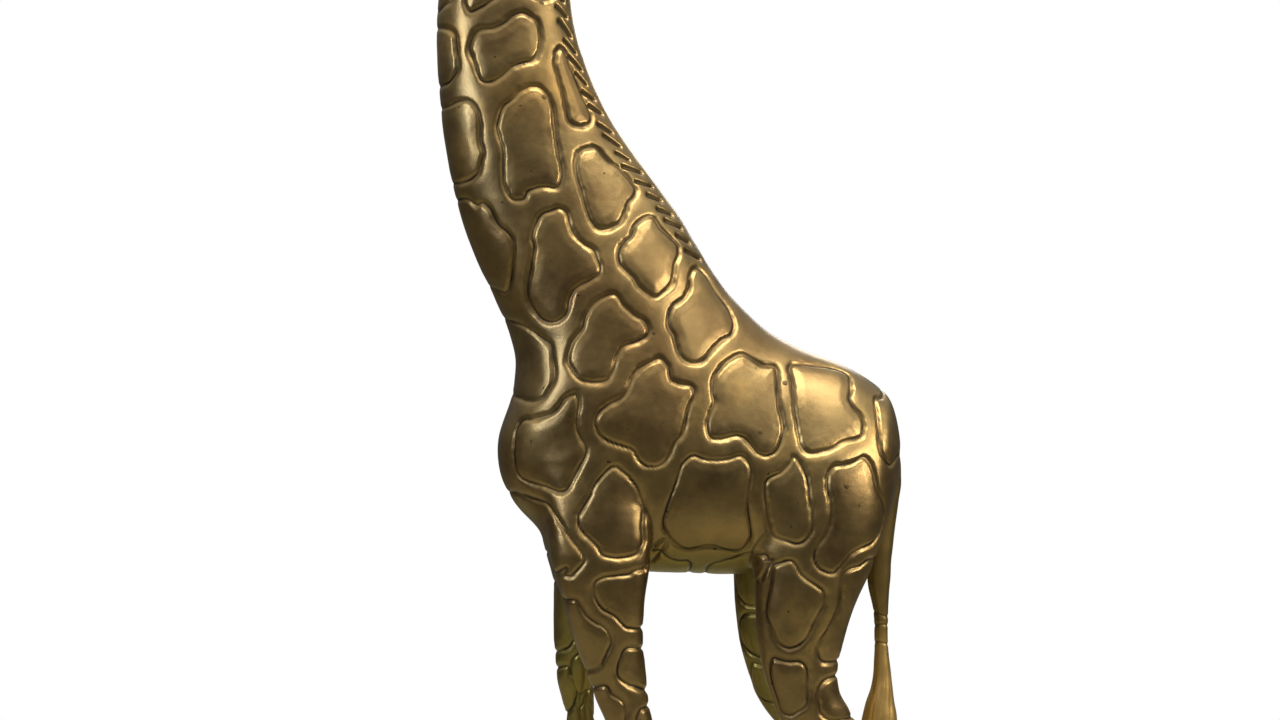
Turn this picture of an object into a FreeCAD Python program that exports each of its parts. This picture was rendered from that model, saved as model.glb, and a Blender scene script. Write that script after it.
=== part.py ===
"""Standing giraffe statue: hollow brass castings joined over hidden collars and dowels.

Frame: +Z up, head towards -X, the animal's left side towards -Y. The origin is on the floor, in the
middle of the statue's outline. Lengths are millimetres and angles are degrees.

The trunk and neck are one bent form. Their sections are ellipses on planes that fan out from a pivot
line behind the neck: a section's angle is counted from straight down, growing towards the head. Its
back is the distance from the pivot line to the animal's back or nape, and its belly is the distance
to the belly, breast or throat. Sections above the pivot are level, and rise by a share of the head
joint's own rise. The underside is the level of the barrel section's belly, which the legs reach up to.
"""
import FreeCAD, Part
import os

# ---------------------------------------------------------------- driving dimensions

GENERAL_SIZES = {
    # where everything sits
    "belly_height": 224,        # floor to the lowest point of the belly, between the legs
    "pivot_over_belly": 382,    # fan pivot above the belly
    "pivot_x": 250,             # fan pivot behind the middle of the statue's outline
    # castings
    "wall": 3.5,                # wall of the hollow castings
    "neck_joint_angle": 52,     # fan angle of the joint between trunk and neck
    "head_joint_rise": 151,     # head joint above the pivot
    # collars inside the two joints
    "collar_wall": 2.5,
    "collar_half_length": 9,
    # dowels, pins and plugs, all brazed into holes of their own size
    "dowel_radius": 4,
    "dowel_in_leg": 16,         # length below the dowel's own height mark
    "dowel_in_trunk": 20,       # length above it
    "tail_dowel_radius": 2.5,
    "tail_dowel_length": 20,
    "tail_dowel_drop": 304,     # below the pivot
    "tail_dowel_ahead": 103,    # its rear end, ahead of the pivot
    "ear_pin_radius": 1.2,
    "ear_pin_length": 12,
    "ossicone_pin_radius": 1.2,
    "ossicone_pin_length": 12,
    "plug_radius": 2.2,         # plug that closes the hole left by a core pin
    # head
    "poll_ahead": 329,          # back of the skull, ahead of the pivot
    "poll_over_joint": 34,      # and above the head joint
    "head_tilt": 27,            # nose below level
    "ear_length": 30,
    "ear_width": 13,
    "ear_thickness": 6,
    "ear_along_head": 14,
    "ear_lift": 11,
    "ear_outwards": 23,
    "ear_droop": 12,
    "ossicone_height": 27,
    "ossicone_base_radius": 4.6,
    "ossicone_tip_radius": 3,
    "ossicone_knob_radius": 4,
    "ossicone_along_head": 17,
    "ossicone_lift": 14,
    "ossicone_spread": 8.5,
    "ossicone_lean_back": 8,
}

# name: angle, rise as a share of the head joint's rise, rise past it, back, belly, half width
BODY_SECTIONS = {
    "rump_end": (15.4, 0, 0, 318, 368, 16),
    "rump": (17, 0, 0, 291, 388, 29),
    "croup": (20, 0, 0, 277, 404, 37),
    "haunch": (25, 0, 0, 273, 421, 43),
    "loin": (31, 0, 0, 276, 443, 45.5),
    "barrel": (37, 0, 0, 280, 468, 46),
    "girth": (43, 0, 0, 280, 475, 46),
    "breast": (48, 0, 0, 278, 464, 44),
    "shoulder": (53, 0, 0, 275, 424, 39.5),
    "neck_base": (60, 0, 0, 274, 403, 34),
    "neck_low": (70, 0, 0, 284, 398, 30),
    "neck_middle": (80, 0, 0, 295, 390, 27.5),
    "neck_upper": (90, 0, 0, 301, 384, 26),
    "crest": (90, 0.291, 0, 312, 383, 24),
    "throat": (90, 0.656, 0, 325, 381, 20.5),
    "nape": (90, 1, 0, 333, 377, 16.5),
    "atlas": (90, 1, 27, 337, 371, 13),
}
BODY_SIZES = ("angle", "share", "over", "back", "belly", "half_width")

# name: distance from the poll along the head, drop below the head's line, half depth, half width
HEAD_SECTIONS = {
    "poll": (0, 0, 11, 8.5),
    "skull": (9, 0, 17.5, 14),
    "brow": (27, 1.5, 19.5, 15.5),
    "cheek": (44, 2.5, 17, 13.5),
    "bridge": (64, 3, 13.5, 10.5),
    "muzzle": (89, 3.5, 12.5, 10),
    "nose": (100.7, 3, 8.5, 6.8),
}
HEAD_SIZES = ("along", "drop", "half_depth", "half_width")

# name: level as a share of the way from the floor to the underside, millimetres over it, middle
# ahead of the pivot, half length along x, distance from the middle plane, half width
LEFT_FORELEG_SECTIONS = {
    "root": (1, 67.7, 287, 30, 24, 15),
    "elbow": (1, 35.7, 287, 32, 28.5, 18.5),
    "upper_arm": (1, 5.6, 287, 31, 30, 18.5),
    "forearm": (0.8825, 0, 283, 23.5, 31, 15.5),
    "lower_arm": (0.7359, 0, 276, 19, 31, 13.5),
    "above_knee": (0.5903, 0, 267, 14.3, 31, 11),
    "knee": (0.4649, 0, 259.5, 12.8, 31, 10),
    "cannon": (0.327, 0, 253.5, 8.6, 31, 6.6),
    "fetlock": (0.1119, 0, 247.5, 9.4, 31, 7.4),
    "pastern": (0.0646, 0, 247.5, 9.2, 31, 7.2),
    "sole": (0, 0, 251, 13.5, 31, 10.5),
}
RIGHT_FORELEG_SECTIONS = {
    "root": (1, 67.7, 287, 30, 24, 15),
    "elbow": (1, 35.7, 287, 31, 28.5, 18.5),
    "upper_arm": (1, 5.6, 287, 28, 30, 18.5),
    "forearm": (0.8825, 0, 287, 21.5, 31, 15.5),
    "lower_arm": (0.7359, 0, 291, 17, 31, 13),
    "above_knee": (0.5903, 0, 292, 11.2, 31, 9),
    "knee": (0.4649, 0, 290.5, 12.2, 31, 9.6),
    "cannon": (0.327, 0, 290, 8.2, 31, 6.4),
    "fetlock": (0.1119, 0, 289, 9.2, 31, 7.2),
    "pastern": (0.0646, 0, 290, 9.2, 31, 7.2),
    "sole": (0, 0, 293.5, 13.5, 31, 10.5),
}
HIND_LEG_SECTIONS = {
    "root": (1, 59.9, 144, 30, 24, 15),
    "hip": (1, 29.8, 145, 39, 28.5, 18.5),
    "thigh": (0.9906, 0, 148, 37.5, 30, 18.5),
    "stifle": (0.8825, 0, 153.5, 31.5, 31, 16),
    "gaskin": (0.7533, 0, 155.8, 26, 31, 13.5),
    "lower_gaskin": (0.6462, 0, 152, 22.5, 31, 12),
    "hock_top": (0.5681, 0, 143, 21.5, 31, 11.5),
    "hock": (0.4909, 0, 133, 17.5, 31, 10.5),
    "cannon": (0.3791, 0, 128.5, 10.8, 31, 7.4),
    "shank": (0.2585, 0, 129.5, 9.2, 31, 6.8),
    "fetlock": (0.1119, 0, 131, 9.8, 31, 7.6),
    "pastern": (0.0646, 0, 132.5, 9.4, 31, 7.2),
    "sole": (0, 0, 136.5, 14, 31, 10.8),
}
LEG_SIZES = ("share", "over", "ahead", "half_length", "y", "half_width")

# name: drop below the pivot, middle ahead of the pivot, half length along x, half width
TAIL_SECTIONS = {
    "root": (286, 98, 8, 6.4),
    "dock": (306, 88.5, 9.6, 7.6),
    "bend": (332, 90, 9, 7.2),
    "stem": (368, 92.8, 7.6, 6),
    "shaft": (400, 92.8, 5.4, 4.3),
    "tie": (430, 92, 5, 4),
    "tuft_top": (454, 91.3, 6.6, 5),
    "tuft": (479, 92.8, 11.4, 8.4),
    "tuft_full": (496, 93.5, 12.4, 9.2),
    "tuft_end": (520, 95, 7, 5),
    "tip": (534, 96, 2.4, 1.8),
}
TAIL_SIZES = ("drop", "ahead", "half_length", "half_width")

# name: place on the left flank, as distance ahead of the pivot and drop below it
PLUG_PLACES = {
    "neck_plug_upper": (321, 16),
    "neck_plug_lower": (320, 75),
    "croup_plug": (166, 255),
    "flank_plug": (185, 285),
    "thigh_plug": (130, 320),
}
PLUG_SIZES = ("ahead", "drop")

# ---------------------------------------------------------------- fixed helpers, not sizes

SHEET = "Sizes"
REACH = 1200          # edge of the blocks that trim one zone from another, past every outline
LEFT = -1
RIGHT = 1
Y_AXIS = FreeCAD.Vector(0, 1, 0)
X_AXIS = FreeCAD.Vector(1, 0, 0)

# levels worked out from the driving dimensions, used by every formula below
DERIVED_LEVELS = {
    "pivot_level": "=belly_height + pivot_over_belly",
    "underside": "=belly_height + pivot_over_belly - barrel_belly * cos(barrel_angle)",
    "joint_level": "=belly_height + pivot_over_belly + head_joint_rise",
}

doc = FreeCAD.newDocument("GiraffeStatue")


# ---------------------------------------------------------------- the sheet of sizes

def write_sheet():
    """Put every driving dimension in the spreadsheet, one to a row, and give its cell an alias."""
    sheet = doc.addObject("Spreadsheet::Sheet", SHEET)
    rows = dict(GENERAL_SIZES)
    tables = (
        ("", BODY_SECTIONS, BODY_SIZES),
        ("head_", HEAD_SECTIONS, HEAD_SIZES),
        ("left_foreleg_", LEFT_FORELEG_SECTIONS, LEG_SIZES),
        ("right_foreleg_", RIGHT_FORELEG_SECTIONS, LEG_SIZES),
        ("hind_leg_", HIND_LEG_SECTIONS, LEG_SIZES),
        ("tail_", TAIL_SECTIONS, TAIL_SIZES),
        ("", PLUG_PLACES, PLUG_SIZES),
    )
    for prefix, sections, columns in tables:
        for section, values in sections.items():
            for column, value in zip(columns, values):
                rows[prefix + section + "_" + column] = value
    rows.update(DERIVED_LEVELS)
    for row, (alias, value) in enumerate(rows.items(), start=1):
        sheet.set("A%d" % row, alias)
        sheet.set("B%d" % row, str(value))
        sheet.setAlias("B%d" % row, alias)
    doc.recompute()


def bind(shape, **expressions):
    """Tie properties to the sheet. A word in braces is an alias; x, y, z and turn set the Placement."""
    paths = {
        "x": ".Placement.Base.x",
        "y": ".Placement.Base.y",
        "z": ".Placement.Base.z",
        "turn": ".Placement.Rotation.Angle",
    }
    for name, text in expressions.items():
        formula = text.replace("{", SHEET + ".").replace("}", "")
        shape.setExpression(paths.get(name, name), formula)


def turned_about(axis, kind, name):
    """Add a Part object whose Placement turns about one axis, ready for its angle to be bound."""
    shape = doc.addObject(kind, name)
    shape.Placement = FreeCAD.Placement(FreeCAD.Vector(), FreeCAD.Rotation(axis, 90))
    return shape


# ---------------------------------------------------------------- building blocks

def loft(name, sections):
    """Add a closed solid through a list of sections."""
    shape = doc.addObject("Part::Loft", name)
    shape.Sections = sections
    shape.Solid = True
    shape.Ruled = False
    return shape


def cut(name, base, tool):
    """Add the base with the tool taken away."""
    shape = doc.addObject("Part::Cut", name)
    shape.Base = base
    shape.Tool = tool
    return shape


def common(name, base, tool):
    """Add what the base and the tool share."""
    shape = doc.addObject("Part::Common", name)
    shape.Base = base
    shape.Tool = tool
    return shape


def fuse(name, shapes):
    """Add several shapes made one."""
    shape = doc.addObject("Part::MultiFuse", name)
    shape.Shapes = shapes
    return shape


def group(name, shapes):
    """Add separate solids kept together as one sub-part."""
    shape = doc.addObject("Part::Compound", name)
    shape.Links = shapes
    return shape


def label(shape, node):
    """Name a finished sub-part. The name is also its file's name."""
    shape.Label = node
    return shape


def body_section(section, inset, mark):
    """Add one ellipse of the trunk or neck, drawn in by a formula for the wall inside it."""
    ellipse = turned_about(Y_AXIS, "Part::Ellipse", mark + section)
    middle = "({%s_belly} + {%s_back}) / 2" % (section, section)
    bind(
        ellipse,
        MajorRadius="({%s_belly} - {%s_back}) / 2 - (%s)" % (section, section, inset),
        MinorRadius="{%s_half_width} - (%s)" % (section, inset),
        turn="90 + {%s_angle}" % section,
        x="{pivot_x} - %s * sin({%s_angle})" % (middle, section),
        z="{pivot_level} + {%s_share} * {head_joint_rise} + {%s_over} - %s * cos({%s_angle})"
          % (section, section, middle, section),
    )
    return ellipse


def body_loft(mark, inset, first):
    """Add the trunk and neck as one solid, from the named section to the top."""
    names = list(BODY_SECTIONS)
    wanted = names[names.index(first):]
    return loft(mark + "form", [body_section(section, inset, mark) for section in wanted])


def joint_block(name, side, start, length):
    """Add a block over one side of the statue, between two distances from the neck joint's plane."""
    block = turned_about(Y_AXIS, "Part::Box", name)
    block.Length = REACH
    block.Width = REACH if side else 2 * REACH
    reach_right = side == RIGHT
    bind(
        block,
        Height=length,
        turn="90 + {neck_joint_angle}",
        x="{pivot_x} + (%s) * cos({neck_joint_angle})" % start,
        y="0" if reach_right else "-%d" % REACH,
        z="{pivot_level} - (%s) * sin({neck_joint_angle})" % start,
    )
    return block


def level_block(name, start, length):
    """Add a block over the whole width, between two levels counted from the head joint."""
    block = doc.addObject("Part::Box", name)
    block.Length = 2 * REACH
    block.Width = 2 * REACH
    bind(
        block,
        Height=length,
        x="-%d" % REACH,
        y="-%d" % REACH,
        z="{joint_level} + (%s)" % start,
    )
    return block


def upright_rod(name, radius, x, y, z, length):
    """Add a vertical round rod."""
    rod = doc.addObject("Part::Cylinder", name)
    bind(rod, Radius=radius, Height=length, x=x, y=y, z=z)
    return rod


def head_point(along, lift):
    """Give the x and z formulas of a point in the head's own frame, from the back of the skull."""
    x = ("{pivot_x} - {poll_ahead}"
         " - (%s) * cos({head_tilt}) - (%s) * sin({head_tilt})" % (along, lift))
    z = ("{joint_level} + {poll_over_joint}"
         " - (%s) * sin({head_tilt}) + (%s) * cos({head_tilt})" % (along, lift))
    return x, z


# ---------------------------------------------------------------- sub-parts

def hollow_forms():
    """Make the outer form of trunk and neck, its hollow, and the bore left inside the collars."""
    outer = body_loft("outer_", "0", "rump_end")
    hollow = body_loft("hollow_", "{wall}", "rump")
    bore = body_loft("bore_", "{wall} + {collar_wall}", "rump")
    return outer, hollow, bore


def side_rods():
    """Make the rods across the left wall that become the core-pin plugs."""
    rods = []
    for place in PLUG_PLACES:
        rod = turned_about(X_AXIS, "Part::Cylinder", place + "_rod")
        rod.Height = REACH
        bind(
            rod,
            Radius="{plug_radius}",
            turn="90",
            x="{pivot_x} - {%s_ahead}" % place,
            z="{pivot_level} - {%s_drop}" % place,
        )
        rods.append(rod)
    return rods


def leg_level(alias):
    """Give the formula of a leg section's height over the floor."""
    return "{%s_share} * {underside} + {%s_over}" % (alias, alias)


def leg_dowel(name, section, side, prefix):
    """Make the dowel that stands in the top of a leg and reaches through the trunk's wall."""
    return upright_rod(
        name,
        "{dowel_radius}",
        "{pivot_x} - {%s%s_ahead}" % (prefix, section),
        "%d * {%s%s_y}" % (side, prefix, section),
        "%s - {dowel_in_leg}" % leg_level(prefix + section),
        "{dowel_in_leg} + {dowel_in_trunk}",
    )


def leg_form(name, prefix, sections, side):
    """Make a whole leg, from a root inside the trunk down to its flat sole."""
    ellipses = []
    for section in sections:
        alias = prefix + section
        ellipse = doc.addObject("Part::Ellipse", name + "_" + section)
        bind(
            ellipse,
            MajorRadius="{%s_half_length}" % alias,
            MinorRadius="{%s_half_width}" % alias,
            x="{pivot_x} - {%s_ahead}" % alias,
            y="%d * {%s_y}" % (side, alias),
            z=leg_level(alias),
        )
        ellipses.append(ellipse)
    return loft(name + "_form", ellipses)


def tail_form():
    """Make the whole tail, from a root inside the rump down to the tip of its tuft."""
    ellipses = []
    for section in TAIL_SECTIONS:
        alias = "tail_" + section
        ellipse = doc.addObject("Part::Ellipse", alias)
        bind(
            ellipse,
            MajorRadius="{%s_half_length}" % alias,
            MinorRadius="{%s_half_width}" % alias,
            x="{pivot_x} - {%s_ahead}" % alias,
            z="{pivot_level} - {%s_drop}" % alias,
        )
        ellipses.append(ellipse)
    return loft("tail_form", ellipses)


def tail_dowel():
    """Make the level dowel that holds the tail to the rump."""
    rod = turned_about(Y_AXIS, "Part::Cylinder", "tail_rod")
    bind(
        rod,
        Radius="{tail_dowel_radius}",
        Height="{tail_dowel_length}",
        turn="90",
        x="{pivot_x} - {tail_dowel_ahead}",
        z="{pivot_level} - {tail_dowel_drop}",
    )
    return rod


def skull_form():
    """Make the solid outline of the head without its ears and ossicones."""
    ellipses = []
    for section in HEAD_SECTIONS:
        alias = "head_" + section
        ellipse = turned_about(Y_AXIS, "Part::Ellipse", alias)
        x, z = head_point("{%s_along}" % alias, "-{%s_drop}" % alias)
        bind(
            ellipse,
            MajorRadius="{%s_half_depth}" % alias,
            MinorRadius="{%s_half_width}" % alias,
            turn="180 - {head_tilt} - 90",
            x=x,
            z=z,
        )
        ellipses.append(ellipse)
    return loft("skull_form", ellipses)


def ear_form(name, side):
    """Make one leaf-shaped ear that reaches out from the side of the skull."""
    ear = turned_about(X_AXIS, "Part::Ellipsoid", name)
    x, z = head_point("{ear_along_head}", "{ear_lift}")
    bind(
        ear,
        Radius1="{ear_length} / 2",
        Radius2="{ear_thickness} / 2",
        Radius3="{ear_width} / 2",
        turn="%d * (90 + {ear_droop})" % -side,
        x=x,
        y="%d * {ear_outwards}" % side,
        z=z,
    )
    return ear


def ear_pin(name, side):
    """Make the pin along an ear's own line, half in the ear and half in the skull."""
    pin = turned_about(X_AXIS, "Part::Cylinder", name)
    x, z = head_point("{ear_along_head}", "{ear_lift}")
    bind(
        pin,
        Radius="{ear_pin_radius}",
        Height="{ear_pin_length}",
        turn="%d * (90 + {ear_droop})" % -side,
        x=x,
        y="%d * ({ear_outwards} - {ear_length} / 2 * cos({ear_droop}))" % side,
        z="%s + {ear_length} / 2 * sin({ear_droop})" % z,
    )
    return pin


def ossicone_parts(name, side):
    """Make one horn-like ossicone, a tapered stalk with a round knob, and the pin in its foot."""
    x, z = head_point("{ossicone_along_head}", "{ossicone_lift}")
    y = "%d * {ossicone_spread}" % side
    lean = "{ossicone_lean_back}"
    stalk = turned_about(Y_AXIS, "Part::Cone", name + "_stalk")
    bind(
        stalk,
        Radius1="{ossicone_base_radius}",
        Radius2="{ossicone_tip_radius}",
        Height="{ossicone_height}",
        turn=lean,
        x=x,
        y=y,
        z=z,
    )
    knob = doc.addObject("Part::Sphere", name + "_knob")
    bind(
        knob,
        Radius="{ossicone_knob_radius}",
        x="%s + {ossicone_height} * sin(%s)" % (x, lean),
        y=y,
        z="%s + {ossicone_height} * cos(%s)" % (z, lean),
    )
    pin = turned_about(Y_AXIS, "Part::Cylinder", name + "_pin")
    bind(
        pin,
        Radius="{ossicone_pin_radius}",
        Height="{ossicone_pin_length}",
        turn=lean,
        x=x,
        y=y,
        z=z,
    )
    return fuse(name + "_form", [stalk, knob]), pin


def make_trunk_and_neck(outer, hollow, dowels, rods):
    """Make the four half shells, and return the whole wall for the plugs."""
    wall = cut("whole_wall", outer, hollow)
    holes = fuse("wall_holes", dowels + rods)
    drilled = cut("drilled_wall", wall, holes)
    below_head = level_block("below_head", "-%d" % REACH, "%d" % REACH)
    parts = []
    for side, word in ((LEFT, "left"), (RIGHT, "right")):
        trunk_zone = joint_block(word + "_trunk_zone", side, "0", "%d" % REACH)
        parts.append(label(common(word + "_trunk", drilled, trunk_zone), "torso_%s_shell" % word))
        neck_zone = joint_block(word + "_neck_zone", side, "-%d" % REACH, "%d" % REACH)
        neck = common(word + "_neck_and_stub", drilled, neck_zone)
        parts.append(label(common(word + "_neck", neck, below_head), "neck_%s_shell" % word))
    return wall, parts


def make_collars(hollow, bore):
    """Make the two sleeves that line up the castings from inside."""
    ring = cut("collar_tube", hollow, bore)
    half = "{collar_half_length}"
    neck_zone = joint_block("neck_collar_zone", 0, "-" + half, "2 * " + half)
    head_zone = level_block("head_collar_zone", "-" + half, "2 * " + half)
    return [
        label(common("neck_ring", ring, neck_zone), "neck_base_collar"),
        label(common("head_ring", ring, head_zone), "head_collar"),
    ]


def make_head(outer, hollow, pins):
    """Make the hollow head with the stub of neck that stands on the head joint."""
    above_joint = level_block("above_joint", "0", "%d" % REACH)
    stub = common("neck_stub", outer, above_joint)
    skull = skull_form()
    solid = fuse("solid_head", [skull, stub])
    opened = cut("opened_head", solid, hollow)
    return skull, label(cut("drilled_head", opened, pins), "head_casting")


def make_legs(outer):
    """Make the four leg castings and their two pairs of dowels."""
    plans = (
        ("left_foreleg", "left_foreleg_", LEFT_FORELEG_SECTIONS, LEFT, "upper_arm"),
        ("right_foreleg", "right_foreleg_", RIGHT_FORELEG_SECTIONS, RIGHT, "upper_arm"),
        ("left_hind_leg", "hind_leg_", HIND_LEG_SECTIONS, LEFT, "thigh"),
        ("right_hind_leg", "hind_leg_", HIND_LEG_SECTIONS, RIGHT, "thigh"),
    )
    legs = []
    dowels = []
    for node, prefix, sections, side, mark in plans:
        dowel = leg_dowel(node + "_dowel", mark, side, prefix)
        form = leg_form(node, prefix, sections, side)
        seated = cut(node + "_seated", form, outer)
        legs.append(label(cut(node + "_drilled", seated, dowel), node))
        dowels.append(dowel)
    pairs = [
        label(group("foreleg_dowel_pair", dowels[:2]), "foreleg_dowels"),
        label(group("hind_leg_dowel_pair", dowels[2:]), "hind_leg_dowels"),
    ]
    return legs, pairs, dowels


def make_statue():
    """Make every sub-part, and return them in a list."""
    outer, hollow, bore = hollow_forms()
    legs, dowel_pairs, dowels = make_legs(outer)
    dock = tail_dowel()
    tail = cut("tail_drilled", cut("tail_seated", tail_form(), outer), dock)
    rods = side_rods()
    wall, shells = make_trunk_and_neck(outer, hollow, dowels + [dock], rods)
    plugs = [common(place, wall, rod) for place, rod in zip(PLUG_PLACES, rods)]
    left_horn, left_horn_pin = ossicone_parts("left_horn", LEFT)
    right_horn, right_horn_pin = ossicone_parts("right_horn", RIGHT)
    left_pin = ear_pin("left_ear_pin", LEFT)
    right_pin = ear_pin("right_ear_pin", RIGHT)
    pins = fuse("head_pins", [left_horn_pin, right_horn_pin, left_pin, right_pin])
    skull, head = make_head(outer, hollow, pins)
    fittings = []
    for name, form, pin, node in (
        ("left_horn", left_horn, left_horn_pin, "left_ossicone"),
        ("right_horn", right_horn, right_horn_pin, "right_ossicone"),
        ("left_ear", ear_form("left_ear_leaf", LEFT), left_pin, "left_ear"),
        ("right_ear", ear_form("right_ear_leaf", RIGHT), right_pin, "right_ear"),
    ):
        seated = cut(name + "_seated", form, skull)
        fittings.append(label(cut(name + "_drilled", seated, pin), node))
    hidden = [
        label(dock, "tail_dowel"),
        label(group("ear_pin_pair", [left_pin, right_pin]), "ear_pins"),
        label(group("ossicone_pin_pair", [left_horn_pin, right_horn_pin]), "ossicone_pins"),
        label(group("plug_set", plugs), "core_pin_plugs"),
    ]
    return (
        shells
        + [head]
        + fittings
        + legs
        + [label(tail, "tail")]
        + make_collars(hollow, bore)
        + dowel_pairs
        + hidden
    )


def check_document():
    """Stop if any object of the document failed."""
    for shape in doc.Objects:
        if "Invalid" in shape.State or "Error" in shape.State:
            raise RuntimeError("failed: %s %s" % (shape.Label, shape.State))


def write_part(part):
    """Check one sub-part and write it as a STEP file."""
    if part.Shape.isNull() or not part.Shape.isValid() or not part.Shape.Solids:
        raise RuntimeError("bad shape: " + part.Label)
    part.Shape.exportStep("parts/%s.step" % part.Label)
    print("%-20s %2d solid(s) %10.0f mm3" % (part.Label, len(part.Shape.Solids), part.Shape.Volume))


write_sheet()
sub_parts = make_statue()
doc.recompute()
check_document()
os.makedirs("parts", exist_ok=True)
for sub_part in sub_parts:
    write_part(sub_part)
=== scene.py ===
"""Looks of a standing giraffe statue in hollow cast brass, with an antique patina.

Each casting is a surface of two parameters, worked out in millimetres and put into its mesh in metres.
The trunk with the neck, and the head, are bent forms whose sections fan out from a pivot line. The legs
and tail stand on level sections. Where castings meet, their forms are blended, and the coat's spots are
then chased into all of them from one drawing.
"""

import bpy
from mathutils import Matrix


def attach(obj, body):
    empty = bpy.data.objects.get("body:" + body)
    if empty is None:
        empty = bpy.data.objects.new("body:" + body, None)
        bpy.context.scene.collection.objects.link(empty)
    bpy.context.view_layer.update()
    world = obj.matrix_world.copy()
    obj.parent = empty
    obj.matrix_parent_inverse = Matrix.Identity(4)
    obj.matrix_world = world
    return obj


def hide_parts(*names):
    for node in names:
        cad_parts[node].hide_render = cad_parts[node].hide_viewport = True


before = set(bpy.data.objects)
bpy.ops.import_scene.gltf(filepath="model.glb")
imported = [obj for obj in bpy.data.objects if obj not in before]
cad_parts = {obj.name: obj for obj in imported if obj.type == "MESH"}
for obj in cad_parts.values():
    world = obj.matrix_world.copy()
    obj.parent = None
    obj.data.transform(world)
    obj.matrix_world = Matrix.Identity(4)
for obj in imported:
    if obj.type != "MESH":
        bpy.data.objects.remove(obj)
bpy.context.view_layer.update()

import logging
import math
from dataclasses import dataclass, field
from enum import Enum
from typing import Callable, Sequence

import bpy
import numpy as np
from mathutils import Vector

LOG = logging.getLogger("giraffe")
MM = 0.001
BODY = "root"

Array = np.ndarray
Points = Sequence[tuple[float, float]]
Field = Callable[[Array], Array]


class Side(Enum):
    """A side of the animal, as the sign of its Y."""

    LEFT = -1
    RIGHT = 1

    @property
    def word(self) -> str:
        """Give the side as a word in a casting's name."""
        return self.name.lower()


# ------------------------------------------------------------------------------- numbers on curves

class Stations:
    """Smooth curves through a few stations, kept as a fine table.

    Between two stations a value follows a cubic whose slope at each station is the slope of the two
    stretches beside it, weighted by the nearer one.
    """

    SAMPLES = 3000

    def __init__(self, places: Sequence[float], rows: Sequence[Sequence[float]]) -> None:
        """Work the table out.

        Args:
            places: where each station stands, growing.
            rows: the values at each station.
        """
        knots = np.asarray(places, float)
        values = np.asarray(rows, float)
        gaps = np.diff(knots)[:, None]
        steep = np.diff(values, axis=0) / gaps
        slopes = np.empty_like(values)
        slopes[0] = steep[0]
        slopes[-1] = steep[-1]
        slopes[1:-1] = (steep[:-1] * gaps[1:] + steep[1:] * gaps[:-1]) / (gaps[1:] + gaps[:-1])
        self.at = np.linspace(knots[0], knots[-1], self.SAMPLES)
        cell = np.clip(np.searchsorted(knots, self.at) - 1, 0, len(knots) - 2)
        width = gaps[cell]
        t = (self.at[:, None] - knots[cell][:, None]) / width
        self.table = (
            values[cell] * (1 + 2 * t) * (1 - t) ** 2
            + slopes[cell] * width * t * (1 - t) ** 2
            + values[cell + 1] * t * t * (3 - 2 * t)
            + slopes[cell + 1] * width * t * t * (t - 1)
        )

    def __call__(self, place: Array) -> list[Array]:
        """Give each value at the places asked for."""
        return [np.interp(place, self.at, column) for column in self.table.T]


def closed_curve(points: Array, steps: int = 6) -> Array:
    """Give a closed curve through the points, each stretch a cubic led by its neighbours.

    Args:
        points: corner points in order, one per row.
        steps: pieces that each stretch is cut into.

    Returns:
        The curve's points, the first one not repeated.
    """
    before = np.roll(points, 1, axis=0)
    after = np.roll(points, -1, axis=0)
    beyond = np.roll(points, -2, axis=0)
    t = (np.arange(steps) / steps)[None, :, None]
    a, b, c, d = (p[:, None, :] for p in (before, points, after, beyond))
    curve = 0.5 * (2 * b + (c - a) * t + (2 * a - 5 * b + 4 * c - d) * t**2
                   + (3 * b - a - 3 * c + d) * t**3)
    return curve.reshape(-1, points.shape[1])


def bump(distance: Array, width: float) -> Array:
    """Give a smooth bell, 1 at no distance and near 0 past twice the width."""
    return np.exp(-(distance / width) ** 2)


def ramp(value: Array, start: float, end: float) -> Array:
    """Give a smooth step from 0 at the start to 1 at the end."""
    t = np.clip((value - start) / (end - start), 0, 1)
    return t * t * (3 - 2 * t)


def around(columns: int) -> Array:
    """Give evenly spaced turns round a full circle, in radians."""
    return np.linspace(0, 2 * math.pi, columns, endpoint=False)


def ripple(points: Array, wave: float, seed: int, waves: int = 7) -> Array:
    """Give a smooth unevenness between about -1 and 1: a sum of sine waves in random directions.

    Args:
        points: places in millimetres, with their three measures on the last axis.
        wave: length of the waves in millimetres.
        seed: picks the directions and starts.
        waves: how many are added up.
    """
    draw = np.random.default_rng(seed)
    total = np.zeros(points.shape[:-1])
    for _ in range(waves):
        heading = draw.normal(size=3)
        heading *= draw.uniform(0.7, 1.5) / np.linalg.norm(heading)
        total += np.sin(points @ heading * (2 * math.pi / wave) + draw.uniform(0, 2 * math.pi))
    return total / math.sqrt(waves * 1.5)


# ------------------------------------------------------------------------------- forms

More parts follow.
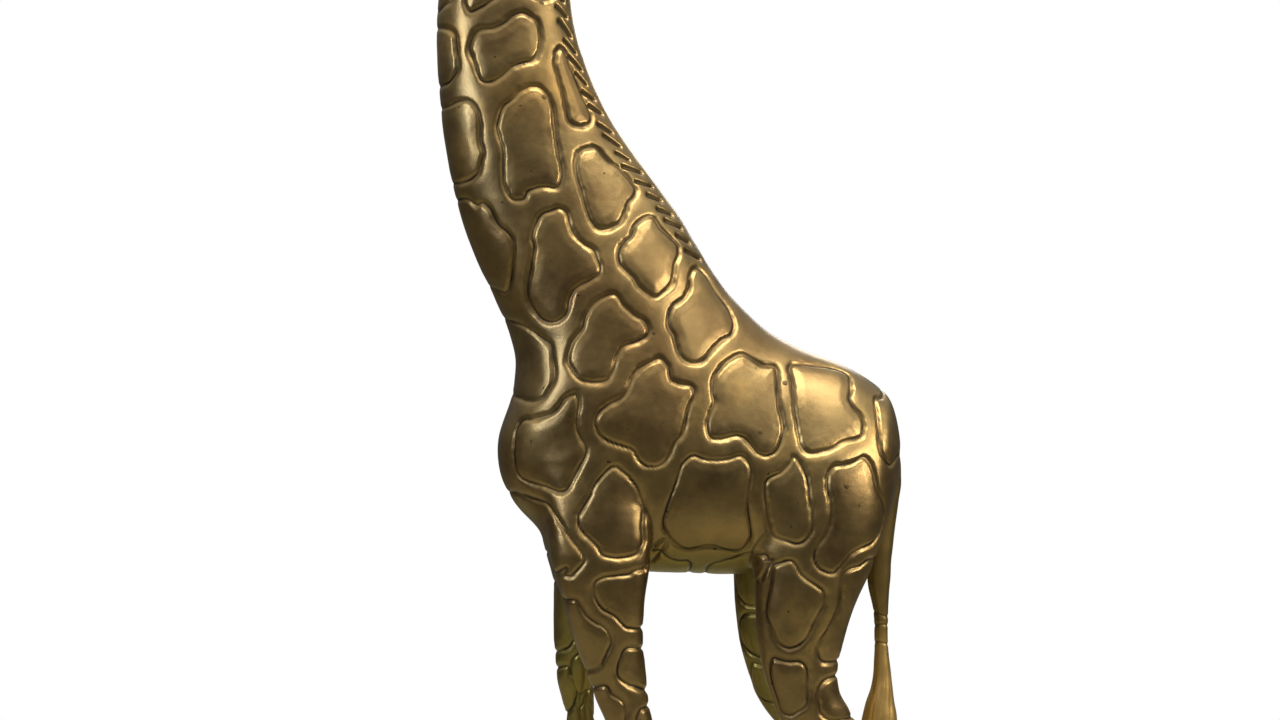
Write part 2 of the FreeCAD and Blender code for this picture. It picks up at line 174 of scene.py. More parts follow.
@dataclass
class FanForm:
    """A bent form: egg-shaped sections that fan out from a pivot line and then go straight on.

    A point is placed by its run along the form and its turn round the section. The run is the fan angle
    as an arc at the reference radius, and the distance past the fan after it. The turn is 0 on the far
    side from the pivot, which is the animal's belly and throat, and a half turn on its back and nape.

    Attributes:
        pivot_x: place of the pivot line.
        pivot_z: height of the pivot line.
        start_heading: heading of the first section from the pivot, in degrees from +X towards +Z.
        sense: 1 if the headings grow along the form, -1 if they shrink.
        fan_end: degrees of fan before the straight part.
        radius: reference radius that turns fan angles to runs.
        stations: (degrees, straight run, near edge, far edge, half width, egg) for each section.
        cap_run: length of the rounded end at the first section, or 0 for an open start.
        nose_run: length of the rounded end at the last section, or 0 for an open end.
        bumps: (x, distance from the middle plane, z, width, height) of a rise on both sides.
    """

    pivot_x: float
    pivot_z: float
    start_heading: float
    sense: int
    fan_end: float
    radius: float
    stations: Sequence[tuple[float, float, float, float, float, float]]
    cap_run: float = 0.0
    nose_run: float = 0.0
    bumps: Sequence[tuple[float, float, float, float, float]] = ()

    def __post_init__(self) -> None:
        """Work out the table of sections and the directions at the end of the fan."""
        runs = [self.run_of(angle, straight) for angle, straight, *_ in self.stations]
        rows = [((far + near) / 2, (far - near) / 2, width, egg)
                for _, _, near, far, width, egg in self.stations]
        self.sections = Stations(runs, rows)
        self.first_run = runs[0]
        self.last_run = runs[-1]
        end = math.radians(self.start_heading + self.sense * self.fan_end)
        self.end_out = np.array([math.cos(end), math.sin(end)])
        self.end_on = self.sense * np.array([-math.sin(end), math.cos(end)])

    def run_of(self, angle: float, straight: float = 0.0) -> float:
        """Give the run of a section from its fan angle in degrees and its straight part."""
        return math.radians(angle) * self.radius + straight

    def locate(self, points: Array) -> tuple[Array, Array]:
        """Give each point's run and its distance from the pivot line."""
        rel = points[:, [0, 2]] - (self.pivot_x, self.pivot_z)
        past = rel @ self.end_on
        heading = np.arctan2(rel[:, 1], rel[:, 0]) - math.radians(self.start_heading)
        fan = (self.sense * heading + math.pi) % (2 * math.pi) - math.pi
        straight = (past > 0) & (rel @ self.end_out > 0)
        end = math.radians(self.fan_end)
        run = np.where(straight, end * self.radius + past, np.minimum(fan, end) * self.radius)
        return run, np.where(straight, rel @ self.end_out, np.hypot(rel[:, 0], rel[:, 1]))

    def section(self, run: Array) -> tuple[Array, Array, Array, Array]:
        """Give the middle, half depth, half width and egg of the sections at some runs."""
        middle, depth, width, egg = self.sections(run)
        close = np.ones_like(run)
        for gap, length in ((run - self.first_run, self.cap_run), (self.last_run - run, self.nose_run)):
            if length:
                left = np.clip(1 - gap / length, 0, 1)
                close *= np.sqrt(np.clip(1 - left**2, 1e-4, 1))
        return middle, depth * close, width * close, egg

    def turn(self, points: Array) -> tuple[Array, Array]:
        """Give each point's run and its turn round the section, left side positive."""
        run, out = self.locate(points)
        middle, depth, width, _ = self.section(run)
        return run, np.arctan2(-points[:, 1] / width, (out - middle) / depth)

    def __call__(self, points: Array) -> Array:
        """Give about how far each point is outside the form, negative inside."""
        run, out = self.locate(points)
        middle, depth, width, egg = self.section(run)
        across = (out - middle) / depth
        side = points[:, 1] / (width * (1 + egg * np.clip(across, -1.2, 1.2)))
        size = np.maximum(np.hypot(across, side), 1e-3)
        away = np.hypot(out - middle, points[:, 1]) * (1 - 1 / size)
        away = away + np.maximum(self.first_run - run, 0) + np.maximum(run - self.last_run, 0)
        for x, y, z, spread, height in self.bumps:
            gap = np.sqrt((points[:, 0] - x) ** 2 + (np.abs(points[:, 1]) - y) ** 2
                          + (points[:, 2] - z) ** 2)
            away = away - height * bump(gap, spread)
        return away

    def rays(self, run: Array, turn: Array) -> tuple[Array, Array]:
        """Give the start and direction of the ray that meets the surface at a run and turn."""
        middle, depth, width, _ = self.section(run)
        end = math.radians(self.fan_end)
        angle = np.minimum(run / self.radius, end)
        heading = math.radians(self.start_heading) + self.sense * angle
        past = np.maximum(run - end * self.radius, 0)
        out = np.stack([np.cos(heading), np.zeros_like(run), np.sin(heading)], axis=1)
        start = out * middle[:, None]
        start[:, 0] += self.pivot_x + past * self.end_on[0]
        start[:, 2] += self.pivot_z + past * self.end_on[1]
        ray = out * (np.cos(turn) * depth)[:, None]
        ray[:, 1] -= np.sin(turn) * width
        return start, ray


@dataclass
class LimbForm:
    """A leg or tail on level, oval sections.

    Its run is the height, and its turn is 0 to the front and a quarter turn on the outer side.

    Attributes:
        side: which side's outer face has the positive turns.
        stations: (height, front x, rear x, middle distance from the statue's plane, half width).
        square: heights between which the sections turn squarer than an ellipse, going up.
        fade: how gently the limb's field ends above its top.
    """

    side: Side
    stations: Sequence[tuple[float, float, float, float, float]]
    square: tuple[float, float] = (400.0, 500.0)
    fade: float = 6.0

    def __post_init__(self) -> None:
        """Work out the table of sections, from the floor up."""
        ordered = sorted(self.stations)
        rows = [((front + rear) / 2, (rear - front) / 2, self.side.value * y, width)
                for _, front, rear, y, width in ordered]
        self.sections = Stations([height for height, *_ in ordered], rows)
        self.low = ordered[0][0]
        self.high = ordered[-1][0]

    def power(self, run: Array) -> Array:
        """Give the power of the sections' outline, 2 for an ellipse and more for a squarer one."""
        return 2 + 1.4 * ramp(run, *self.square)

    def section(self, run: Array) -> tuple[Array, Array, Array, Array]:
        """Give the middle x, half length, middle y and half width at some heights."""
        return tuple(self.sections(run))

    def turn(self, points: Array) -> tuple[Array, Array]:
        """Give each point's height and its turn round the section."""
        x, length, y, width = self.section(points[:, 2])
        across = self.side.value * (points[:, 1] - y) / width
        return points[:, 2], np.arctan2(across, (x - points[:, 0]) / length)

    def __call__(self, points: Array) -> Array:
        """Give about how far each point is outside the limb, negative inside."""
        x, length, y, width = self.section(points[:, 2])
        dx = points[:, 0] - x
        dy = points[:, 1] - y
        power = self.power(points[:, 2])
        size = (np.abs(dx / length) ** power + np.abs(dy / width) ** power) ** (1 / power)
        away = np.hypot(dx, dy) * (1 - 1 / np.maximum(size, 1e-3))
        over = np.maximum(points[:, 2] - self.high, 0)
        return away + over**2 / (over + self.fade)

    def rays(self, run: Array, turn: Array) -> tuple[Array, Array]:
        """Give the start and direction of the ray that meets the surface at a height and turn."""
        x, length, y, width = self.section(run)
        start = np.stack([x, y, run], axis=1)
        ray = np.stack([-np.cos(turn) * length, self.side.value * np.sin(turn) * width,
                        np.zeros_like(run)], axis=1)
        return start, ray


def settle(surface: Field, start: Array, ray: Array, rounds: int = 14) -> Array:
    """Slide points along their rays until they lie on a surface.

    Each round moves a point back by nine tenths of what its field says it is outside.
    """
    reach = np.maximum(np.linalg.norm(ray, axis=1), 0.05)
    share = np.ones(len(start))
    for _ in range(rounds):
        points = start + ray * share[:, None]
        share = np.clip(share - 0.9 * surface(points) / reach, 0.0, 3.0)
    return start + ray * share[:, None]


def overlap(first: Array, second: Array, width: Array | float) -> Array:
    """Give how far a soft blend fills the corner between two forms.

    It is the width less the gap between the two fields, squared, over four widths.
    """
    return np.maximum(width - np.abs(first - second), 0) ** 2 / (4 * width)


# ------------------------------------------------------------------------------- the animal's forms

TRUNK_STATIONS = (
    (14.4, 0, 286, 402, 37, 0.04),
    (17, 0, 283, 402, 38, 0.05),
    (20, 0, 277, 406, 40, 0.06),
    (25, 0, 273, 421, 43, 0.08),
    (31, 0, 276, 443, 45, 0.10),
    (37, 0, 280, 467, 46, 0.12),
    (43, 0, 280, 474, 46, 0.14),
    (46, 0, 279.5, 472, 45, 0.14),
    (48, 0, 278, 466, 44, 0.14),
    (50, 0, 276.5, 453, 42.5, 0.14),
    (52, 0, 275, 430, 41, 0.14),
    (54, 0, 274, 415, 39.5, 0.14),
    (56.5, 0, 273, 407, 37.5, 0.14),
    (60, 0, 274, 403, 35, 0.14),
    (65, 0, 278, 401, 32.5, 0.14),
    (70, 0, 284, 398, 30.5, 0.14),
    (75, 0, 290, 394, 29, 0.14),
    (80, 0, 295, 390, 27.8, 0.13),
    (85, 0, 299, 387, 26.8, 0.12),
    (90, 0, 301.5, 384, 26, 0.12),
    (90, 44, 312, 383, 23.8, 0.11),
    (90, 99, 325, 381, 20.3, 0.10),
    (90, 151, 333, 377, 16.5, 0.08),
)
PIVOT_X = 250.0
PIVOT_Z = 606.0
FAN_RADIUS = 345.0
NECK_JOINT_ANGLE = 52.0
HEAD_JOINT_RISE = 151.0

TRUNK_BUMPS = (
    # x, distance from the middle plane, z, width, height: shoulder, haunch, breast, withers, croup
    (-22, 40, 330, 30, 2.2),
    (118, 38, 292, 30, 3.0),
    (-74, 18, 303, 18, 1.6),
    (44, 12, 406, 24, 1.0),
    (128, 20, 346, 26, 1.4),
)

LEFT_FORELEG_STATIONS = (
    (302, -62, -12, 22, 14),
    (272, -67, -4, 28, 18.5),
    (240, -66.5, -5, 31, 19.2),
    (211, -57.9, -8.6, 31.5, 17),
    (189, -51.5, -8.6, 31.5, 15),
    (171, -45.1, -7.2, 31, 13.4),
    (150, -37.3, -4.8, 31, 11.7),
    (137, -31.3, -2.8, 31, 11),
    (118, -24.5, 2, 31, 11),
    (104, -21.5, 4.4, 31, 10.8),
    (90, -16.5, 4.8, 31, 8.6),
    (70, -12.2, 5.2, 31, 6.8),
    (45, -9.6, 6.4, 31, 6.4),
    (28, -8.6, 12, 31, 7.8),
    (18, -8.4, 9.4, 31, 6.9),
    (11, -12, 10.4, 31, 8.9),
    (0, -14.5, 12.5, 31, 10.5),
)
FORELEG_SQUARE = (170.0, 225.0)
RIGHT_FORELEG_STATIONS = (
    (302, -62, -12, 22, 14),
    (272, -67, -8, 28, 18.5),
    (240, -64, -10, 31, 19),
    (216, -58, -15, 31.5, 16.6),
    (189, -58, -20, 31.5, 14.6),
    (171, -57.6, -25.5, 31, 12.8),
    (150, -55.5, -31, 31, 10.6),
    (137, -52.3, -32, 31, 9.6),
    (124, -50, -31, 31, 9.6),
    (110, -52.4, -27.6, 31, 10.4),
    (96, -50.5, -28.8, 31, 9.4),
    (76, -48.4, -32, 31, 6.8),
    (45, -47.6, -32.4, 31, 6.3),
    (28, -49.4, -29.6, 31, 7.7),
    (18, -49.6, -31.4, 31, 6.9),
    (11, -54, -31.6, 31, 8.9),
    (0, -57, -30, 31, 10.5),
)
HIND_LEG_STATIONS = (
    (300, 78, 136, 22, 14),
    (272, 68, 146, 28, 18.5),
    (250, 63.5, 146, 30.5, 19.4),
    (230, 63.8, 140.4, 31, 19.2),
    (213, 64.6, 132.2, 31.5, 17.8),
    (200, 65.2, 127, 31.5, 16.4),
    (188, 66.3, 123.3, 31.5, 15.2),
    (175, 68, 120.3, 31, 14),
    (162, 71.2, 118.9, 31, 13),
    (150, 75, 120.3, 31, 12.3),
    (138, 79, 127.2, 31, 11.9),
    (126, 86.5, 133.3, 31, 11.5),
    (114, 97, 135.5, 31, 11),
    (102, 106, 134.4, 31, 9.9),
    (88, 110.8, 132.2, 31, 8.2),
    (62, 111.6, 129.2, 31, 6.9),
    (42, 110.5, 128, 31, 6.8),
    (28, 109, 130, 31, 8),
    (18, 107.5, 126, 31, 7),
    (11, 103, 126, 31, 9),
    (0, 99.5, 127.5, 31, 10.8),
)
TAIL_STATIONS = (
    (326, 145, 157, 0, 5),
    (302, 150, 169.6, 0, 7.8),
    (285, 150, 171, 0, 8.2),
    (262, 150, 168.2, 0, 7.6),
    (240, 149, 165.5, 0, 6.9),
    (216, 148.7, 163.7, 0, 6.0),
    (196, 152.8, 162.6, 0, 4.7),
    (175, 153.5, 162.6, 0, 4.4),
    (155, 152.8, 164.7, 0, 5.3),
    (145, 151.3, 165.8, 0, 6.4),
    (135, 147.8, 167.2, 0, 7.8),
    (127, 145.7, 168.5, 0, 8.8),
    (113, 144, 169, 0, 9.4),
    (98, 146.5, 166, 0, 7.6),
    (84, 150, 160.5, 0, 4.4),
    (73, 153, 156.4, 0, 1.2),
)

HEAD_TILT = 27.0
HEAD_PIVOT_X = -131.0
HEAD_RADIUS = 30.0
HEAD_STATIONS = (
    # the fan turns from the neck's level top to the head's own sections
    (0, 0, 4, 48, 16.5, -0.08),
    (16, 0, 4, 51.5, 16.4, -0.08),
    (36, 0, 3.6, 56.5, 16.6, -0.10),
    (56, 0, 3, 55, 17, -0.12),
    (74, 0, 2, 47.5, 17.4, -0.10),
    (92, 0, 0.8, 40.5, 17.6, -0.04),
    (117, 0, -1.6, 36, 16.8, 0.02),
    (117, 8, -1.4, 33.5, 14.4, 0.0),
    (117, 16, 0.6, 30, 12.2, -0.02),
    (117, 23, 1.8, 27.6, 11.2, -0.05),
    (117, 29, 2, 26.6, 11.4, -0.05),
    (117, 34, 2.4, 25.2, 10.6, 0.0),
)

WALL = 3.5


@dataclass
class Animal:
    """The forms of every casting, and how they blend where they meet."""

    trunk: FanForm = field(default_factory=lambda: FanForm(
        pivot_x=PIVOT_X, pivot_z=PIVOT_Z, start_heading=270.0, sense=-1, fan_end=90.0,
        radius=FAN_RADIUS, stations=TRUNK_STATIONS, cap_run=30.0, bumps=TRUNK_BUMPS))
    head: FanForm = field(default_factory=lambda: FanForm(
        pivot_x=HEAD_PIVOT_X, pivot_z=PIVOT_Z + HEAD_JOINT_RISE, start_heading=0.0, sense=1,
        fan_end=90.0 + HEAD_TILT, radius=HEAD_RADIUS, stations=HEAD_STATIONS, nose_run=9.0))
    left_foreleg: LimbForm = field(default_factory=lambda: LimbForm(
        Side.LEFT, LEFT_FORELEG_STATIONS, FORELEG_SQUARE))
    right_foreleg: LimbForm = field(default_factory=lambda: LimbForm(
        Side.RIGHT, RIGHT_FORELEG_STATIONS, FORELEG_SQUARE))
    left_hind_leg: LimbForm = field(default_factory=lambda: LimbForm(Side.LEFT, HIND_LEG_STATIONS))
    right_hind_leg: LimbForm = field(default_factory=lambda: LimbForm(Side.RIGHT, HIND_LEG_STATIONS))
    tail: LimbForm = field(default_factory=lambda: LimbForm(Side.LEFT, TAIL_STATIONS))

    def limbs(self) -> dict[str, LimbForm]:
        """Give the limbs by the names of their castings."""
        return {"left_foreleg": self.left_foreleg, "right_foreleg": self.right_foreleg,
                "left_hind_leg": self.left_hind_leg, "right_hind_leg": self.right_hind_leg,
                "tail": self.tail}

    def blend(self, name: str, points: Array) -> Array:
        """Give how wide a limb's blend into the trunk is at some points.

        A foreleg's rear edge and the lower front of a thigh keep a crisp corner.
        """
        x, z = points[:, 0], points[:, 2]
        if name == "tail":
            return np.full(len(points), 7.0)
        if "fore" in name:
            crisp = ramp(x, -30, -9) * ramp(z, 300, 276)
            return 22 - 19.5 * crisp
        crisp = ramp(x, 92, 76) * ramp(z, 285, 240)
        return 22 - 15 * crisp

    def fields(self, points: Array) -> tuple[Array, Array, dict[str, Array], dict[str, Array]]:
        """Give the trunk's field bare and blended, and each limb's field bare and blended."""
        own = self.trunk(points)
        bare = {name: limb(points) for name, limb in self.limbs().items()}
        fill = {name: overlap(own, part, self.blend(name, points)) for name, part in bare.items()}
        blended = {name: part - fill[name] for name, part in bare.items()}
        return own, own - sum(fill.values()), bare, blended

    def seam(self, points: Array) -> Array:
        """Give how near each point is to a brazed seam that isn't blended away, from 0 to 1."""
        own = self.trunk(points)
        near = [np.clip((22 - self.blend(name, points)) / 19.5, 0, 1) * bump(own - limb(points), 1.3)
                for name, limb in self.limbs().items()]
        return np.max(near, axis=0) * ramp(np.abs(own), 9, 5)

    def outside(self, points: Array) -> Array:
        """Give the field of everything but the head as one form."""
        _, trunk, _, limbs = self.fields(points)
        return np.minimum(trunk, np.min(list(limbs.values()), axis=0))

    def trunk_field(self, points: Array) -> Array:
        """Give the trunk casting's field: the joined form, sinking where a limb's skin takes over.

        The depth that it sinks is the square of how much nearer the limb is, over forty.
        """
        own, trunk, bare, limbs = self.fields(points)
        nearest = np.min(list(bare.values()), axis=0)
        joined = np.minimum(trunk, np.min(list(limbs.values()), axis=0))
        return joined + np.maximum(own - nearest, 0) ** 2 / 40

    def limb_field(self, name: str) -> Field:
        """Give one limb casting's field: its form joined to the trunk's, sinking inside the trunk."""

        def joined(points: Array) -> Array:
            own, trunk, bare, limbs = self.fields(points)
            return np.minimum(trunk, limbs[name]) + np.maximum(bare[name] - own, 0) ** 2 / 40

        return joined


# ------------------------------------------------------------------------------- the chased drawing

CAMERA_AZIMUTH = -9.0
CAMERA_DISTANCE = 1100.0
CAMERA_HEIGHT = 400.0
AIM = np.array([-5.2, 0.0, 365.3])
FRAME_WIDTH = 832.0


@dataclass
class Board:
    """An upright board through the statue, facing the viewer, on which the left flank is drawn.

    Its two measures are millimetres along the floor and above the floor. What is drawn on it is carried
    onto the castings along the viewer's lines of sight.
    """

    def __post_init__(self) -> None:
        """Work out the viewer's place and the board's two directions."""
        turn = math.radians(CAMERA_AZIMUTH)
        rise = CAMERA_HEIGHT - AIM[2]
        level = math.sqrt(CAMERA_DISTANCE**2 - rise**2)
        self.eye = AIM + (level * math.sin(turn), -level * math.cos(turn), rise)
        look = (AIM - self.eye) / CAMERA_DISTANCE
        self.right = np.array([math.cos(turn), math.sin(turn), 0.0])
        self.up = np.cross(self.right, look)
        self.look = look

    def carry(self, drawn: Array, surface: Field) -> Array:
        """Carry drawn points onto a surface.

        Each point walks along its line of sight by what the field says it is outside. A line that
        misses the surface stops where it passes nearest.
        """
        place = (AIM + (drawn[:, :1] - AIM[0]) * self.right + (drawn[:, 1:] - AIM[2]) * self.up)
        sight = place - self.eye
        sight /= np.linalg.norm(sight, axis=1)[:, None]
        point = place - 90 * sight
        best = point.copy()
        best_away = np.full(len(point), 1e9)
        for _ in range(90):
            away = surface(point)
            nearer = away < best_away - 0.01
            best[nearer] = point[nearer]
            best_away = np.minimum(best_away, away)
            point = point + sight * np.clip(np.where(best_away < 0.05, 0, away), 0.0, 6.0)[:, None] * 0.8
            point = point + sight * np.where((best_away > 0.05) & (away < 0.6), 0.6, 0)[:, None] * 0.5
        return best


class Wrap(Enum):
    """How a drawn outline goes on past the edge of what the viewer sees."""

    NONE = 0
    FRONT = 1
    BACK = 2


INNER_FACES = (
    # limb, middle height, half height, middle turn in degrees, half turn
    ("hind_leg", 213, 15, -52, 42),
    ("hind_leg", 178, 14, -55, 45),
    ("hind_leg", 145, 13, -50, 46),
    ("hind_leg", 192, 13, -125, 30),
    ("hind_leg", 158, 12, -130, 30),
    ("foreleg", 196, 15, -118, 44),
    ("foreleg", 158, 14, -112, 46),
    ("foreleg", 190, 12, -30, 32),
    ("foreleg", 128, 9, -125, 42),
)


@dataclass(frozen=True)
class Spot:
    """One coat spot, by the middle line of the groove round it, as drawn on the board."""

    points: Points
    wrap: Wrap = Wrap.NONE
    form: str = "trunk"


@dataclass
class Groove:
    """A closed groove on the castings: its line in space, and its outline in run and turn."""

    form: FanForm | LimbForm
    outline: Array
    line: Array
    back: bool

    def __post_init__(self) -> None:
        """Keep the box round the line."""
        self.low = self.line.min(axis=0)
        self.high = self.line.max(axis=0)

    def measure(self, points: Array) -> tuple[Array, Array]:
        """Give each point's distance from the line, and whether it is inside the outline."""
        ends = np.roll(self.line, -1, axis=0)
        along = ends - self.line
        size = np.maximum((along**2).sum(axis=1), 1e-9)
        rel = points[:, None, :] - self.line[None]
        share = np.clip((rel * along[None]).sum(axis=2) / size, 0, 1)
        gap = rel - share[:, :, None] * along[None]
        distance = np.sqrt((gap**2).sum(axis=2).min(axis=1))
        run, turn = self.form.turn(points)
        if self.back:
            turn = turn % (2 * math.pi)
        x0, y0 = self.outline[:, 0], self.outline[:, 1]
        x1, y1 = np.roll(x0, -1), np.roll(y0, -1)
        above = turn[:, None]
        crosses = (y0 > above) != (y1 > above)
        rise = np.where(np.abs(y1 - y0) < 1e-12, 1e-12, y1 - y0)
        hits = crosses & (run[:, None] < (x1 - x0) * (above - y0) / rise + x0)
        return distance, hits.sum(axis=1) % 2 == 1


REACH = 8.0


@dataclass
class Chasing:
    """All the grooves cut into the castings after they were joined.

    Attributes:
        animal: the forms that they are cut into.
        board: where the left side's spots are drawn.
        grooves: the lines round the spots.
        notches: the two ends and the width of each stroke of the mane.
    """

    animal: Animal
    board: Board
    grooves: list[Groove] = field(default_factory=list)
    notches: list[tuple[Array, Array, float]] = field(default_factory=list)

    def sway(self, run: Array, turn: Array) -> tuple[Array, Array]:
        """Shift the right side's outlines a little, so that the two sides differ as hand work does."""
        calm = np.sin(turn) ** 2
        shifted = run + 5.0 * calm * np.sin(run / 37.0 + 1.3)
        return shifted, turn + 0.09 * calm * np.sin(run / 29.0 + 0.4)

    def add_spot(self, spot: Spot) -> None:
        """Cut a spot on the left side, and its like on the right."""
        drawn = np.array(spot.points, float)
        limbs = self.animal.limbs()
        name = spot.form
        target = self.animal.trunk if name == "trunk" else limbs[name]
        surface = self.animal.outside if name == "trunk" else limbs[name]
        run, turn = target.turn(self.board.carry(drawn, surface))
        back = spot.wrap is Wrap.BACK
        if back:
            turn = turn % (2 * math.pi)
            run = np.concatenate([run, run[::-1]])
            turn = np.concatenate([turn, (2 * math.pi - turn)[::-1]])
        elif spot.wrap is Wrap.FRONT:
            run = np.concatenate([run, run[::-1]])
            turn = np.concatenate([turn, -turn[::-1]])
        outline = closed_curve(np.stack([run, turn], axis=1))
        if name == "trunk":
            self.add_groove(self.animal.trunk, self.animal.outside, outline, back)
            if spot.wrap is Wrap.NONE:
                swayed = np.stack(self.sway(outline[:, 0], outline[:, 1]), axis=1)
                self.add_groove(self.animal.trunk, self.animal.outside, swayed * (1, -1), back)
            return
        for partner in (name, name.replace("left", "right")):
            self.add_groove(limbs[partner], self.animal.limb_field(partner), outline, back)

    def add_inner_faces(self) -> None:
        """Cut the rounded spots on the inner faces of the legs, each a wavy ring."""
        draw = np.random.default_rng(4)
        limbs = self.animal.limbs()
        angle = around(11)
        for kind, height, half_height, turn, half_turn in INNER_FACES:
            for side in ("left_", "right_"):
                wave = 1 + draw.normal(0, 0.09, len(angle))
                square = (np.abs(np.cos(angle)) ** 3 + np.abs(np.sin(angle)) ** 3) ** (-1 / 3)
                run = height + half_height * square * wave * np.sin(angle)
                round_leg = np.radians(turn + half_turn * square * wave * np.cos(angle))
                back = turn <= -90
                if back:
                    round_leg = round_leg % (2 * math.pi)
                outline = closed_curve(np.stack([run, round_leg], axis=1))
                self.add_groove(limbs[side + kind], self.animal.limb_field(side + kind), outline, back)

    def add_groove(self, form: FanForm | LimbForm, surface: Field, outline: Array, back: bool) -> None:
        """Lay an outline on a surface and keep it as a groove."""
        line = settle(surface, *form.rays(outline[:, 0], outline[:, 1]))
        self.grooves.append(Groove(form, outline, line, back))

    def depth_into(self, points: Array) -> Array:
        """Give each point's distance from the nearest groove's line, negative inside its spot."""
        outside = np.full(len(points), REACH)
        inside = np.zeros(len(points))
        for groove in self.grooves:
            boxed = (points > groove.low - REACH) & (points < groove.high + REACH)
            near = np.flatnonzero(boxed.all(axis=1))
            for part in np.array_split(near, max(1, len(near) // 8000)):
                if not len(part):
                    continue
                distance, within = groove.measure(points[part])
                distance = np.minimum(distance, REACH)
                outside[part] = np.where(within, outside[part], np.minimum(outside[part], distance))
                inside[part] = np.where(within, np.maximum(inside[part], distance), inside[part])
        return np.where(inside > 0, -inside, outside)

    def notch_depth(self, points: Array) -> Array:
        """Give how deep the mane's notches cut at each point, from 0 to 1.

        A notch is a short straight stroke, deepest on its line and gone one width away.
        """
        depth = np.zeros(len(points))
        for start, end, width in self.notches:
            low = np.minimum(start, end) - 2 * width
            high = np.maximum(start, end) + 2 * width
            near = np.flatnonzero(((points > low) & (points < high)).all(axis=1))
            rel = points[near] - start
            along = end - start
            share = np.clip(rel @ along / (along @ along), 0, 1)
            gap = np.linalg.norm(rel - share[:, None] * along, axis=1)
            depth[near] = np.maximum(depth[near], bump(gap, width))
        return depth


